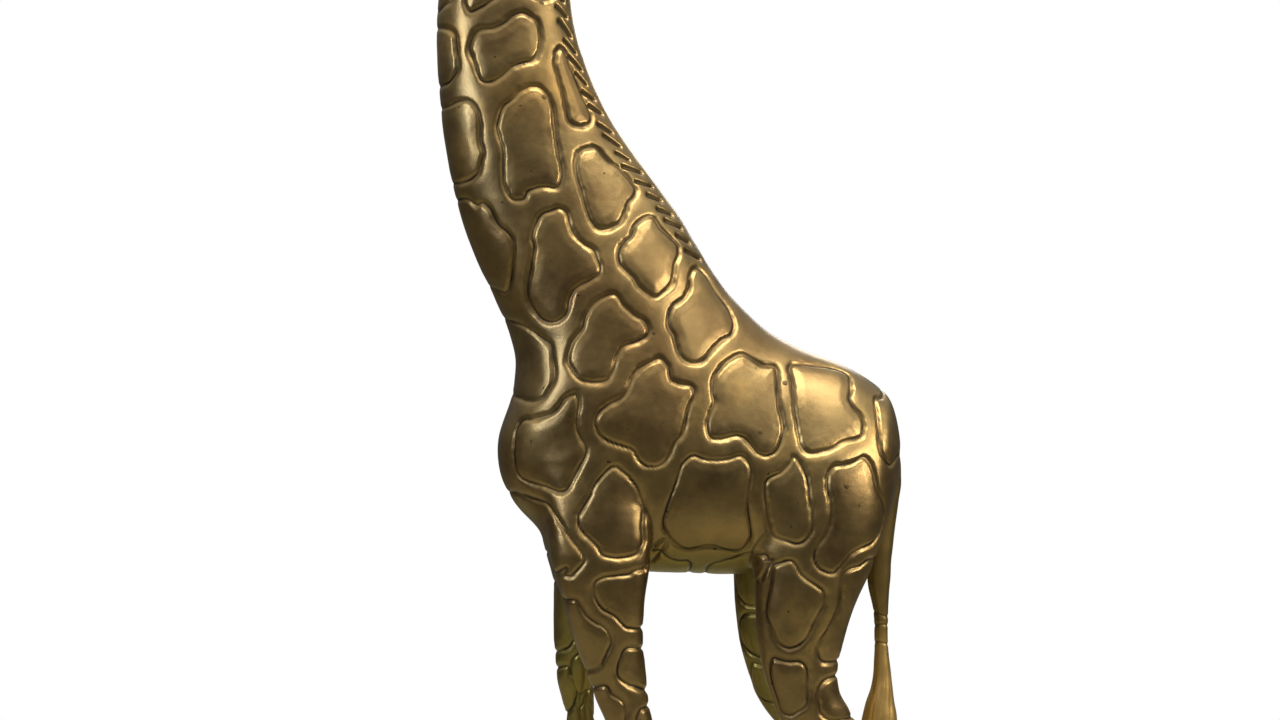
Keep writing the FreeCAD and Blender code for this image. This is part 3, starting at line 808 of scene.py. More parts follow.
TRUNK_SPOTS = (
    Spot(((-116, 568), (-113, 577), (-109, 580), (-100, 581), (-93, 585), (-88, 589), (-82, 591),
          (-77, 589), (-72, 585), (-70, 578), (-70, 570), (-71, 565), (-75, 560), (-80, 559), (-88, 556),
          (-95, 550), (-100, 547), (-105, 546), (-109, 548), (-112, 556), (-114, 562))),
    Spot(((-76, 543), (-83, 540), (-88, 535), (-94, 530), (-97, 522), (-98, 515), (-96, 508), (-94, 500),
          (-94, 483), (-92, 476), (-88, 470), (-81, 470), (-78, 475), (-73, 477), (-66, 478), (-60, 477),
          (-57, 481), (-56, 488), (-58, 498), (-60, 510), (-61, 520), (-62, 530), (-65, 537),
          (-70, 542))),
    Spot(((-136, 581), (-130, 580), (-126, 576), (-125, 568), (-124, 560), (-124, 555), (-127, 549),
          (-131, 545), (-136, 543)), Wrap.FRONT),
    Spot(((-134, 529), (-130, 530), (-125, 533), (-118, 534), (-113, 531), (-110, 525), (-109, 517),
          (-109, 508), (-107, 500), (-108, 495), (-110, 488), (-115, 483), (-120, 481), (-126, 480),
          (-128, 480)), Wrap.FRONT),
    Spot(((-60, 562), (-60.5, 557), (-58, 548), (-55, 538), (-53, 528), (-50.5, 520), (-45, 517.5),
          (-38, 519), (-37, 524), (-40, 532), (-45, 543), (-49, 553), (-52.5, 563), (-56, 568),
          (-59, 566))),
    Spot(((-40, 503), (-45, 500), (-47, 494), (-46, 485), (-44, 478), (-42, 470), (-40, 463), (-37, 456),
          (-33, 451), (-29, 450), (-23, 452), (-18, 455), (-15, 461), (-13, 467), (-9, 472), (-8, 476),
          (-11, 481), (-15, 486), (-20, 491), (-26, 495), (-33, 503))),
    Spot(((-58, 464), (-64, 462), (-69, 460), (-73, 453), (-75, 445), (-74, 437), (-76, 425), (-78, 415),
          (-78, 406), (-75, 399), (-70, 393), (-64, 390), (-58, 391), (-53, 396), (-51, 405), (-47, 412),
          (-40, 416), (-33, 420), (-31, 424), (-33, 431), (-36, 437), (-42, 441), (-48, 447), (-51, 454),
          (-53, 461))),
    Spot(((-120, 470), (-112, 466), (-108, 467), (-103, 464), (-100, 458), (-97, 453), (-92, 449),
          (-88, 444), (-87, 437), (-88, 428), (-89, 420), (-91, 412), (-94, 409), (-99, 411),
          (-105, 414)), Wrap.FRONT),
    Spot(((3, 458), (-3, 457), (-8, 453), (-11, 446), (-16, 441), (-19, 435), (-18, 428), (-13, 422),
          (-9, 418), (-6, 413), (0, 408), (5, 406), (10, 409), (15, 414), (17, 421), (18, 428), (20, 434),
          (19, 440), (14, 445), (8, 451))),
    Spot(((32, 425), (28, 421), (27, 412), (23, 405), (17, 401), (14, 396), (13, 388), (17, 380),
          (20, 370), (24, 365), (30, 363), (36, 365), (42, 372), (48, 378), (54, 382), (56, 388),
          (54, 395), (50, 402), (43, 412), (38, 420))),
    Spot(((-24, 408), (-31, 405), (-37, 400), (-41, 392), (-43, 385), (-48, 379), (-51, 372), (-52, 364),
          (-48, 357), (-42, 352), (-34, 351), (-27, 352), (-23, 358), (-20, 367), (-16, 374), (-8, 377),
          (-1, 381), (0, 386), (-3, 391), (-10, 395), (-16, 401), (-20, 407))),
    Spot(((-93, 392), (-82, 388), (-67, 378), (-63, 374), (-62, 365), (-61, 357), (-62, 351), (-66, 344),
          (-70, 340), (-76, 339), (-84, 341), (-90, 344)), Wrap.FRONT),
    Spot(((-47, 343), (-53, 341), (-57, 336), (-62, 331), (-70, 328), (-80, 327), (-85, 322), (-87, 312),
          (-87, 300), (-86, 293), (-82, 288), (-75, 285), (-67, 283), (-58, 280), (-53, 281), (-49, 287),
          (-45, 295), (-41, 302), (-40, 308), (-43, 314), (-46, 321), (-46, 330), (-45, 338))),
    Spot(((8, 366), (2, 364), (-5, 360), (-10, 354), (-13, 346), (-18, 340), (-26, 336), (-32, 331),
          (-34, 325), (-32, 318), (-26, 313), (-18, 310), (-10, 307), (-6, 301), (-2, 297), (5, 296),
          (11, 299), (15, 305), (18, 312), (23, 318), (25, 326), (27, 335), (30, 343), (28, 348),
          (20, 350), (15, 353), (13, 361))),
    Spot(((-23, 296), (-34, 285), (-38, 276), (-43, 268), (-45, 264), (-44, 257), (-38, 250), (-33, 245),
          (-29, 239), (-21, 237), (-12, 238), (-6, 241), (-3, 250), (-3, 262), (-3, 272), (-6, 281),
          (-10, 287), (-15, 292))),
    Spot(((61, 369), (54, 366), (48, 361), (43, 354), (42, 345), (43, 337), (40, 329), (39, 321),
          (41, 315), (48, 314), (56, 316), (62, 315), (67, 310), (71, 305), (77, 303), (83, 306),
          (86, 312), (88, 320), (87, 328), (85, 336), (84, 346), (84, 356), (82, 361), (74, 362),
          (67, 366))),
    Spot(((93, 362), (94, 350), (95, 335), (97, 322), (100, 309), (105, 305), (113, 306), (120, 308),
          (127, 312), (138, 315), (140, 321), (139, 328), (134, 334), (131, 340), (132, 347), (130, 356),
          (121, 360), (108, 362))),
    Spot(((29, 303), (22, 297), (18, 285), (12, 268), (10, 258), (16, 247), (25, 242), (33, 243),
          (42, 244), (50, 242), (60, 241), (65, 245), (67, 252), (66, 262), (65, 272), (66, 282),
          (67, 292), (65, 299), (60, 303), (53, 301), (44, 300), (36, 301))),
    Spot(((95, 302), (91, 297), (86, 292), (78, 288), (76, 281), (77, 270), (79, 258), (82, 251),
          (90, 248), (97, 246), (103, 249), (107, 256), (107, 265), (105, 275), (104, 285), (101, 294))),
    Spot(((140, 302), (134, 299), (128, 297), (121, 296), (117, 290), (117, 281), (119, 272), (119, 262),
          (116, 253), (110, 244), (108, 238), (110, 232), (115, 228), (121, 227), (126, 232), (132, 239),
          (139, 243), (147, 247), (152, 255), (154, 265), (153, 273), (149, 282), (147, 292),
          (144, 299))),
    Spot(((153, 342), (148, 340), (149, 332), (150, 320), (151, 309), (154, 302), (160, 299),
          (166, 302)), Wrap.BACK),
    Spot(((-88, 279), (-82, 277), (-72, 274), (-65, 271), (-56, 258), (-46, 245), (-41, 236), (-44, 231),
          (-50, 225), (-54, 225), (-60, 227)), Wrap.FRONT),
    Spot(((0, 224), (0, 233), (3, 241), (8, 241), (14, 236), (20, 234), (26, 234), (28, 231),
          (25, 224)), Wrap.FRONT),
    Spot(((36, 224), (40, 231), (48, 234), (58, 237), (68, 239), (75, 239), (78, 235), (74, 224)),
         Wrap.FRONT),
    # upper neck
    Spot(((-130, 640), (-127, 637), (-124, 628), (-124, 615), (-127, 602), (-131, 597), (-137, 595),
          (-137, 641)), Wrap.FRONT),
    Spot(((-118, 634), (-112, 642), (-104, 645), (-96, 642), (-92, 634), (-93, 622), (-92, 611),
          (-96, 603), (-103, 598), (-110, 594), (-116, 592), (-119, 599), (-117, 610), (-119, 622))),
    Spot(((-83, 640), (-77, 643), (-71, 637), (-67, 625), (-62, 612), (-60, 603), (-66, 599), (-74, 601),
          (-82, 606), (-85, 616), (-84, 628))),
    Spot(((-137, 686), (-130, 684), (-126, 678), (-125, 668), (-125, 660), (-128, 653), (-137, 651)),
         Wrap.FRONT),
    Spot(((-114, 694), (-108, 698), (-101, 695), (-98, 686), (-99, 676), (-96, 666), (-98, 657),
          (-105, 653), (-112, 654), (-117, 660), (-118, 671), (-116, 683))),
    Spot(((-88, 686), (-83, 689), (-79, 683), (-76, 672), (-73, 662), (-75, 655), (-82, 653),
          (-87, 658), (-89, 668), (-90, 678))),
    Spot(((-136, 728), (-129, 726), (-125, 719), (-125, 709), (-128, 700), (-136, 697)), Wrap.FRONT),
    Spot(((-113, 738), (-107, 741), (-101, 737), (-99, 727), (-101, 717), (-103, 709), (-109, 706),
          (-115, 709), (-117, 719), (-116, 730))),
    Spot(((-92, 730), (-88, 731), (-85, 724), (-83, 713), (-82, 704), (-85, 699), (-91, 701),
          (-93, 710), (-93, 721))),
)

FORELEG_SPOTS = (
    Spot(((-4, 229), (-12, 226), (-20, 225), (-28, 224), (-34, 221), (-35, 215), (-33, 208), (-29, 203),
          (-22, 199), (-17, 194), (-13, 191), (-4, 191)), Wrap.BACK, "left_foreleg"),
    Spot(((-56, 210), (-49, 209), (-44, 205), (-40, 199), (-35, 195), (-29, 192), (-25, 187), (-24, 181),
          (-26, 176), (-29, 170), (-33, 165), (-42, 163)), Wrap.FRONT, "left_foreleg"),
    Spot(((-3, 178), (-10, 178), (-15, 177), (-18, 171), (-20, 164), (-19, 159), (-14, 155), (-9, 153),
          (-1, 151)), Wrap.BACK, "left_foreleg"),
    Spot(((-36, 152), (-28, 153), (-24, 148), (-19, 145), (-15, 140), (-15, 131), (-19, 124), (-26, 121)),
         Wrap.FRONT, "left_foreleg"),
    Spot(((0, 140), (-4, 138), (-7, 132), (-6, 124), (-1, 120), (5, 119)), Wrap.BACK, "left_foreleg"),
)
HIND_LEG_SPOTS = (
    Spot(((93, 235), (85, 233), (81, 231), (80, 220), (77, 205), (77, 199), (80, 191), (83, 184),
          (88, 179), (94, 178), (100, 181), (104, 186), (109, 196), (114, 205), (115, 212), (113, 216),
          (106, 221), (100, 226), (97, 231)), Wrap.NONE, "left_hind_leg"),
    Spot(((148, 236), (143, 235), (137, 231), (129, 228), (126, 220), (125, 208), (121, 198), (116, 189),
          (111, 181), (111, 174), (114, 169), (121, 169), (130, 170)), Wrap.BACK, "left_hind_leg"),
    Spot(((81, 171), (86, 170), (92, 169), (99, 169), (103, 165), (104, 158), (104, 148), (103, 141),
          (98, 137), (92, 134), (86, 137), (83, 146), (80, 156), (79, 165)), Wrap.NONE, "left_hind_leg"),
    Spot(((128, 160), (120, 159), (114, 156), (111, 150), (111, 142), (113, 135), (119, 131),
          (128, 132)), Wrap.BACK, "left_hind_leg"),
)


@dataclass
class Mane:
    """The cropped mane: short slanted notches in a row down the nape, ending at the withers.

    Attributes:
        reach: the lowest and the highest notch, as heights on the board.
        pitch: distance from notch to notch.
        length: of a notch.
        width: half width of a notch.
    """

    reach: tuple[float, float] = (433.0, 748.0)
    pitch: float = 11.3
    length: float = 12.5
    width: float = 1.5
    bends: Stations = field(default_factory=lambda: Stations(
        (428, 453, 481, 502, 524, 548, 577, 620, 680, 745),
        ((33, -30), (17.5, -27), (-3, -20), (-19.5, -30), (-31.5, -33), (-43, -42), (-52.5, -46),
         (-61, -48), (-72, -50), (-80.5, -50))))

    def strokes(self, animal: Animal, board: Board) -> list[tuple[Array, Array, float]]:
        """Give each notch's two ends on both sides of the neck, and its width."""
        heights = np.arange(*self.reach, 0.25)
        x = self.bends(heights)[0]
        run = np.concatenate([[0], np.cumsum(np.hypot(np.diff(x), np.diff(heights)))])
        draw = np.random.default_rng(11)
        marks = np.arange(0, run[-1], self.pitch)
        marks = marks + draw.normal(0, 0.7, len(marks))
        height = np.interp(marks, run, heights)
        middles = np.stack([np.interp(height, heights, x), height], axis=1)
        slant = np.radians(self.bends(height)[1] + draw.normal(0, 4, len(marks)))
        half = 0.5 * self.length * draw.uniform(0.8, 1.15, len(marks))
        step = np.stack([np.cos(slant), np.sin(slant)], axis=1) * half[:, None]
        upper = board.carry(middles - step, animal.trunk)
        lower = board.carry(middles + step * 0.75, animal.trunk)
        width = self.width * draw.uniform(0.75, 1.15, len(marks))
        mirror = np.array([1, -1, 1])
        left = list(zip(upper, lower, width))
        return left + [(a * mirror, b * mirror, w) for a, b, w in left]


# ------------------------------------------------------------------------------- relief

@dataclass(frozen=True)
class ChaseProfile:
    """The cross section of the chased coat.

    Attributes:
        depth: how deep a groove's line lies under the skin.
        steep: how far its wall on the spot's side reaches.
        soft: how far its wall on the net's side reaches.
        bottom: radius that rounds the groove's bottom.
        pillow: how far the middle of a spot stands up.
        net: how far the middle of the net between spots stands up.
        waver: how far the hand strays to either side of a line.
        notch: how deep the mane's notches are cut.
        seam: how dark the patina lies in a brazed seam, from 0 to 1.
    """

    depth: float = 1.35
    steep: float = 2.0
    soft: float = 2.9
    bottom: float = 0.5
    pillow: float = 0.5
    net: float = 0.12
    waver: float = 0.22
    notch: float = 1.9
    seam: float = 0.85

    def height(self, distance: Array, size: Array) -> Array:
        """Give the skin's height at signed distances from the grooves' lines.

        On either side the wall rises as the share of the way out, turned over, to a power: a higher
        power on the net's side, whose shoulder is rounder.
        """
        distance = np.sign(distance) * (np.sqrt(distance**2 + self.bottom**2) - self.bottom)
        inward = np.clip(1 + distance / (self.steep * size), 0, 1) ** 1.5
        outward = np.clip(1 - distance / (self.soft * size), 0, 1) ** 1.9
        wall = np.where(distance < 0, inward, outward)
        inner = self.pillow * ramp(-distance, 0.8, 8)
        outer = self.net * ramp(distance, 1.0, 6.5)
        return inner + outer - self.depth * size * wall


def grid_normals(grid: Array, closed: bool) -> Array:
    """Give the unit normals of a grid of points, from the cross product of its two slopes.

    Args:
        grid: rows by columns by three.
        closed: whether the last column joins the first.
    """
    along = np.gradient(grid, axis=0)
    if closed:
        across = (np.roll(grid, -1, axis=1) - np.roll(grid, 1, axis=1)) / 2
    else:
        across = np.gradient(grid, axis=1)
    normal = np.cross(along, across)
    return normal / np.maximum(np.linalg.norm(normal, axis=2), 1e-9)[:, :, None]


def facing_out(normals: Array, rays: Array) -> Array:
    """Turn normals so that they point the way the rays do."""
    sign = np.sign((normals * rays).sum(axis=-1, keepdims=True))
    return normals * np.where(sign == 0, 1, sign)


def laid_grid(form: FanForm | LimbForm, surface: Field, runs: Array, turns: Array) -> tuple[Array, Array]:
    """Lay a grid of a form's runs and turns on a surface.

    Returns:
        The grid, and the rays that reach it: both are rows by columns by three.
    """
    run, turn = np.meshgrid(runs, turns, indexing="ij")
    start, ray = form.rays(run.ravel(), turn.ravel())
    points = settle(surface, start, ray)
    shape = (len(runs), len(turns), 3)
    return points.reshape(shape), (points - start).reshape(shape)


def tube_grid(form: FanForm | LimbForm, surface: Field, runs: Array, columns: int) -> tuple[Array, ...]:
    """Lay a tube of rings on a surface.

    Returns:
        The run and the turn of each point, the grid, and its normals.
    """
    turns = around(columns)
    run, turn = np.meshgrid(runs, turns, indexing="ij")
    grid, rays = laid_grid(form, surface, runs, turns)
    return run, turn, grid, facing_out(grid_normals(grid, True), rays)


# ------------------------------------------------------------------------------- meshes

def new_object(name: str, points: Array, faces: list[Sequence[int]], chased: Array | None = None,
               rim: Array | None = None) -> bpy.types.Object:
    """Make a mesh object from points in millimetres.

    Args:
        name: the object's name.
        points: one per row.
        faces: corners of each face; they are all turned over if they enclose a negative volume.
        chased: values per point for the material, kept as the attribute "chased".
        rim: marks the points on a sharp rim.

    Returns:
        The new object, linked to the scene.
    """
    quads = np.array([face if len(face) == 4 else (*face[:3], face[0]) for face in faces if len(face) < 5])
    if len(quads):
        a, b, c, d = (points[quads[:, k]] for k in range(4))
        if (a * np.cross(b, c)).sum() + (a * np.cross(c, d)).sum() < 0:
            faces = [tuple(reversed(face)) for face in faces]
    mesh = bpy.data.meshes.new(name)
    mesh.from_pydata((points * MM).tolist(), [], faces)
    mesh.polygons.foreach_set("use_smooth", np.ones(len(mesh.polygons), bool))
    if chased is not None:
        attribute = mesh.attributes.new("chased", "FLOAT_COLOR", "POINT")
        attribute.data.foreach_set("color", chased.astype(np.float32).ravel())
    if rim is not None:
        edges = np.empty(len(mesh.edges) * 2, np.int32)
        mesh.edges.foreach_get("vertices", edges)
        sharp = mesh.attributes.new("sharp_edge", "BOOLEAN", "EDGE")
        sharp.data.foreach_set("value", rim[edges.reshape(-1, 2)].all(axis=1))
    mesh.update()
    piece = bpy.data.objects.new(name, mesh)
    bpy.context.scene.collection.objects.link(piece)
    return piece


def ring_faces(rows: int, columns: int) -> list[tuple[int, ...]]:
    """Give the four-cornered faces of a tube of points, its last column joined to its first."""
    row = np.arange(rows - 1)[:, None] * columns
    column = np.arange(columns)[None]
    beside = (column + 1) % columns
    corners = np.stack([row + column, row + beside, row + columns + beside, row + columns + column], axis=2)
    return [tuple(face) for face in corners.reshape(-1, 4).tolist()]


def fan_faces(ring: Sequence[int], middle: int, turned: bool) -> list[tuple[int, int, int]]:
    """Give the triangles that close a ring of points onto a middle point."""
    after = list(ring[1:]) + [ring[0]]
    if turned:
        return [(b, a, middle) for a, b in zip(ring, after)]
    return [(a, b, middle) for a, b in zip(ring, after)]


def closed_tube(name: str, grid: Array, chased: Array) -> bpy.types.Object:
    """Make a closed tube from a grid of rings, each end drawn in to its ring's middle.

    Args:
        name: the object's name.
        grid: rings by columns by three, in millimetres.
        chased: rings by columns by four.
    """
    rows, columns = grid.shape[:2]
    points = np.concatenate([grid.reshape(-1, 3), grid[[0, -1]].mean(axis=1)])
    values = np.concatenate([chased.reshape(-1, 4), np.zeros((2, 4))])
    first = list(range(columns))
    last = list(range((rows - 1) * columns, rows * columns))
    faces = ring_faces(rows, columns)
    faces += fan_faces(first, rows * columns, True)
    faces += fan_faces(last, rows * columns + 1, False)
    return new_object(name, points, faces, values)


# ------------------------------------------------------------------------------- finishes

def linear(hex_colour: str) -> tuple[float, float, float, float]:
    """Give an sRGB hex colour as linear red, green, blue and alpha."""
    parts = [int(hex_colour[k:k + 2], 16) / 255 for k in (1, 3, 5)]
    return (*(p / 12.92 if p <= 0.04045 else ((p + 0.055) / 1.055) ** 2.4 for p in parts), 1.0)


def node(tree: bpy.types.NodeTree, kind: str, settings: dict | None = None,
         **links: object) -> bpy.types.Node:
    """Add one node with its settings, and fill its inputs.

    Args:
        tree: where it goes.
        kind: the node's type.
        settings: properties of the node.
        links: input name, with spaces as underscores, or n and a number, to a value or an output.
    """
    made = tree.nodes.new(kind)
    for name, value in (settings or {}).items():
        setattr(made, name, value)
    for name, value in links.items():
        key = int(name[1:]) if name[0] == "n" and name[1:].isdigit() else name.replace("_", " ")
        if isinstance(value, bpy.types.NodeSocket):
            tree.links.new(value, made.inputs[key])
        else:
            made.inputs[key].default_value = value
    return made


def cover(tree: bpy.types.NodeTree, colour: bpy.types.NodeSocket, hex_colour: str,
          share: bpy.types.NodeSocket) -> bpy.types.NodeSocket:
    """Lay a share of one plain colour over another colour."""
    return node(tree, "ShaderNodeMix", {"data_type": "RGBA"}, n0=share, n6=colour,
                n7=linear(hex_colour)).outputs[2]


def spread(tree: bpy.types.NodeTree, value: bpy.types.NodeSocket, start: float, end: float,
           low: float = 0.0, high: float = 1.0) -> bpy.types.NodeSocket:
    """Map a value's way from start to end onto the way from low to high."""
    return node(tree, "ShaderNodeMapRange", Value=value, From_Min=start, From_Max=end, To_Min=low,
                To_Max=high).outputs[0]


def ramp_node(tree: bpy.types.NodeTree, value: bpy.types.NodeSocket,
              stops: Sequence[tuple[float, str]]) -> bpy.types.NodeSocket:
    """Add a colour ramp with hex stops, and give its colour."""
    made = node(tree, "ShaderNodeValToRGB", Fac=value)
    elements = made.color_ramp.elements
    while len(elements) < len(stops):
        elements.new(0.5)
    for element, (place, colour) in zip(elements, stops):
        element.position = place
        element.color = linear(colour)
    return made.outputs["Color"]


@dataclass(frozen=True)
class AgedBrass:
    """Sand-cast yellow brass, chased by hand, browned with a patina and rubbed back with a cloth.

    The eye meets warm metal: golden where hands and cloth rub it, a little more so along the grooves'
    shoulders as rubbed wear and a painted highlight, olive brown in the flats, and nearly black in the
    grooves, where the patina and old wax stay.

    Attributes:
        name: the material's name.
        rubbed, body, brown, dark: colours from the most to the least rubbed.
        rust: colour of the redder clouds in the patina.
        green: colour of the painted reflection of the floor's bounce light on faces that look down and on the
            legs' inner faces, and of the tail's darker dock.
        blotch: size of the patina's clouds in millimetres.
        grain: size of the casting's skin texture in millimetres.
        gloss: roughness where the wax is smooth.
        haze: roughness where it is dull.
        shine: how far the whole leans to rubbed metal, from 0 to 1.
    """

    name: str
    rubbed: str = "#D2AE6A"
    body: str = "#A1895A"
    brown: str = "#7C6541"
    rust: str = "#8C6538"
    dark: str = "#1C150B"
    green: str = "#93893F"
    blotch: float = 46.0
    grain: float = 1.2
    gloss: float = 0.29
    haze: float = 0.37
    shine: float = 0.35

    def build(self) -> bpy.types.Material:
        """Make the material."""
        material = bpy.data.materials.new(self.name)
        material.use_nodes = True
        tree = material.node_tree
        tree.nodes.clear()
        place = node(tree, "ShaderNodeTexCoord").outputs["Object"]
        chased = node(tree, "ShaderNodeAttribute", {"attribute_name": "chased"}).outputs
        split = node(tree, "ShaderNodeSeparateColor", Color=chased["Color"]).outputs
        groove, shoulder, painted_bounce_and_dock_tint = split[0], split[1], chased["Alpha"]
        clouds = self.noise(tree, place, self.blotch, 4.0, 0.5)
        smoke = self.noise(tree, place, 14.0, 5.0, 0.6)
        specks = self.noise(tree, place, 4.0, 5.0, 0.65)
        grain = self.noise(tree, place, self.grain, 3.0, 0.6)
        tone = self.mix(tree, self.mix(tree, clouds, smoke, 0.3), specks, 0.12)
        # The grooves' shoulders push the colour towards rubbed gold: partly wear, partly a painted highlight
        # along the groove edges.
        tone_wear_and_sheen = node(tree, "ShaderNodeMath", {"operation": "MULTIPLY_ADD"}, n0=shoulder, n1=0.06,
                    n2=tone).outputs[0]
        low = 0.60 - 0.34 * self.shine
        colour = ramp_node(tree, tone_wear_and_sheen, ((low - 0.16, self.brown), (low + 0.06, self.body),
                                        (low + 0.3, self.rubbed)))
        ruddy = spread(tree, self.noise(tree, place, 70.0, 3.0, 0.55), 0.46, 0.66, 0.0,
                       0.42 * (1 - self.shine))
        colour = cover(tree, colour, self.rust, ruddy)
        # Painted reflection of the floor's bounce light: yellow-green on faces that look down and on the
        # legs' inner faces; on the tail the same value darkens the dock above the tuft.
        green = node(tree, "ShaderNodeMath", {"operation": "MULTIPLY"}, n0=painted_bounce_and_dock_tint, n1=0.65).outputs[0]
        colour = cover(tree, colour, self.green, green)
        grime = spread(tree, self.mix(tree, groove, smoke, 0.28), 0.24, 0.78, 0.0, 0.95)
        shaded = cover(tree, colour, self.dark, grime)
        pit = spread(tree, self.noise(tree, place, 4.5, 2.0, 0.4), 0.75, 0.775, 0.0, 0.7)
        shaded = cover(tree, shaded, self.dark, pit)
        rough = spread(tree, smoke, 0.3, 0.7, self.gloss, self.haze)
        rough = node(tree, "ShaderNodeMath", {"operation": "MULTIPLY_ADD"}, n0=grime, n1=0.25,
                     n2=rough).outputs[0]
        relief = node(tree, "ShaderNodeBump", Strength=0.22, Distance=0.2 * MM, Height=grain).outputs[0]
        relief = node(tree, "ShaderNodeBump", Strength=0.1, Distance=0.7 * MM, Height=specks,
                      Normal=relief).outputs[0]
        shader = node(tree, "ShaderNodeBsdfPrincipled", Base_Color=shaded, Roughness=rough, Normal=relief,
                      Metallic=1.0, Coat_Weight=0.35, Coat_Roughness=0.32)
        output = node(tree, "ShaderNodeOutputMaterial")
        tree.links.new(shader.outputs["BSDF"], output.inputs["Surface"])
        return material

    @staticmethod
    def noise(tree: bpy.types.NodeTree, place: bpy.types.NodeSocket, size: float, detail: float,
              rough: float) -> bpy.types.NodeSocket:
        """Add cloud noise of a size in millimetres."""
        return node(tree, "ShaderNodeTexNoise", Vector=place, Scale=1 / (size * MM), Detail=detail,
                    Roughness=rough).outputs["Fac"]

    @staticmethod
    def mix(tree: bpy.types.NodeTree, first: bpy.types.NodeSocket, second: bpy.types.NodeSocket,
            share: float) -> bpy.types.NodeSocket:
        """Add a share of one value to the rest of another."""
        part = node(tree, "ShaderNodeMath", {"operation": "MULTIPLY"}, n0=first, n1=1 - share).outputs[0]
        return node(tree, "ShaderNodeMath", {"operation": "MULTIPLY_ADD"}, n0=second, n1=share,
                    n2=part).outputs[0]


# ------------------------------------------------------------------------------- castings

@dataclass
class Casting:
    """A casting of the statue.

    Attributes:
        node: its name in the frame.
    """

    node: str

    @property
    def name(self) -> str:
        """Give the piece's name, which says that the casting was chased."""
        return self.node + "_chased"

    def build(self, shop: "Workshop") -> bpy.types.Object:
        """Make its mesh object."""
        raise NotImplementedError


@dataclass
class Workshop:
    """What every casting shares: the forms, the chasing and the finishes.

    Attributes:
        animal: the forms.
        chasing: the grooves of the coat and the notches of the mane.
        finishes: the material of each finish.
        profile: the cross section of the cuts.
        step: spacing of the grids in millimetres.
    """

    animal: Animal
    chasing: Chasing
    finishes: dict[str, bpy.types.Material]
    profile: ChaseProfile = ChaseProfile()
    step: float = 0.85

    def chase(self, grid: Array, normals: Array, share: Array | float = 1.0) -> tuple[Array, Array]:
        """Cut the coat and the mane into a grid.

        The cuts swell and shrink a little along the way. They are half as deep over the middle plane,
        where the two sides' outlines meet, and the patina lies unevenly in them.

        Args:
            grid: rows by columns by three, before the cut.
            normals: the way out at each point.
            share: how much of the relief is cut, per point.

        Returns:
            The cut grid, and the four values per point that the finish takes: the groove, the shoulder
            (lightened as rubbed wear and as a painted highlight), an empty one, and the painted reflection of
            the floor's bounce light.
        """
        points = grid.reshape(-1, 3)
        shape = grid.shape[:2]
        distance = self.chasing.depth_into(points)
        distance = distance + self.profile.waver * ripple(points, 6, 12) * ramp(np.abs(distance), 0, 1.5)
        uneven = 1 + 0.12 * ripple(points, 14, 5) + 0.14 * ripple(points, 55, 6)
        notch = self.chasing.notch_depth(points)
        height = self.profile.height(distance, uneven) * (1 - 0.5 * bump(points[:, 1] - 2, 15))
        height = height * (1 - notch) - self.profile.notch * notch
        height = height + 0.1 * ripple(points, 23, 3) + 0.015 * ripple(points, 7, 4)
        cut = grid + normals * (height.reshape(shape) * share)[:, :, None]
        faint = 0.72 + 0.38 * ripple(points, 19, 13)
        groove = np.clip(1.2 - np.abs(distance) / 1.1, 0, 1) * np.clip(faint, 0.3, 1)
        seam = self.profile.seam * self.animal.seam(points)
        groove = np.clip(np.max([groove, 0.9 * notch, seam], axis=0), 0, 1)
        # The shoulder lightens the finish beside each groove, as rubbed wear and as a painted highlight along
        # the groove edges.
        shoulder = np.maximum(bump(distance + 2.0, 0.8), 0.8 * bump(distance - 4.0, 1.6))
        painted_bounce_and_dock_tint = self.painted_bounce_and_dock_tint(points, normals.reshape(-1, 3))
        values = np.stack([groove, shoulder, np.zeros_like(groove), painted_bounce_and_dock_tint], axis=1)
        return cut, values.reshape(*shape, 4)

    def painted_bounce_and_dock_tint(self, points: Array, normals: Array) -> Array:
        """Give how far a point takes the painted reflection of the floor's bounce light: faces that look
        down, under the belly's height, and faces that look in towards the middle plane, low on the legs.
        """
        inward = ramp(-normals[:, 1] * np.sign(points[:, 1]), 0.1, 0.7) * ramp(points[:, 2], 262, 236)
        below = ramp(-normals[:, 2], 0.3, 0.85) * ramp(points[:, 2], 330, 270)
        return np.maximum(inward, below)

    def place(self, casting: Casting, slot: str = "patinated_brass") -> None:
        """Make a casting, give it its finish and its body, and let it stand for its node."""
        piece = casting.build(self)
        piece.data.materials.append(self.finishes[slot])
        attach(piece, BODY)
        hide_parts(casting.node)
        LOG.info("%s: %d faces", piece.name, len(piece.data.polygons))


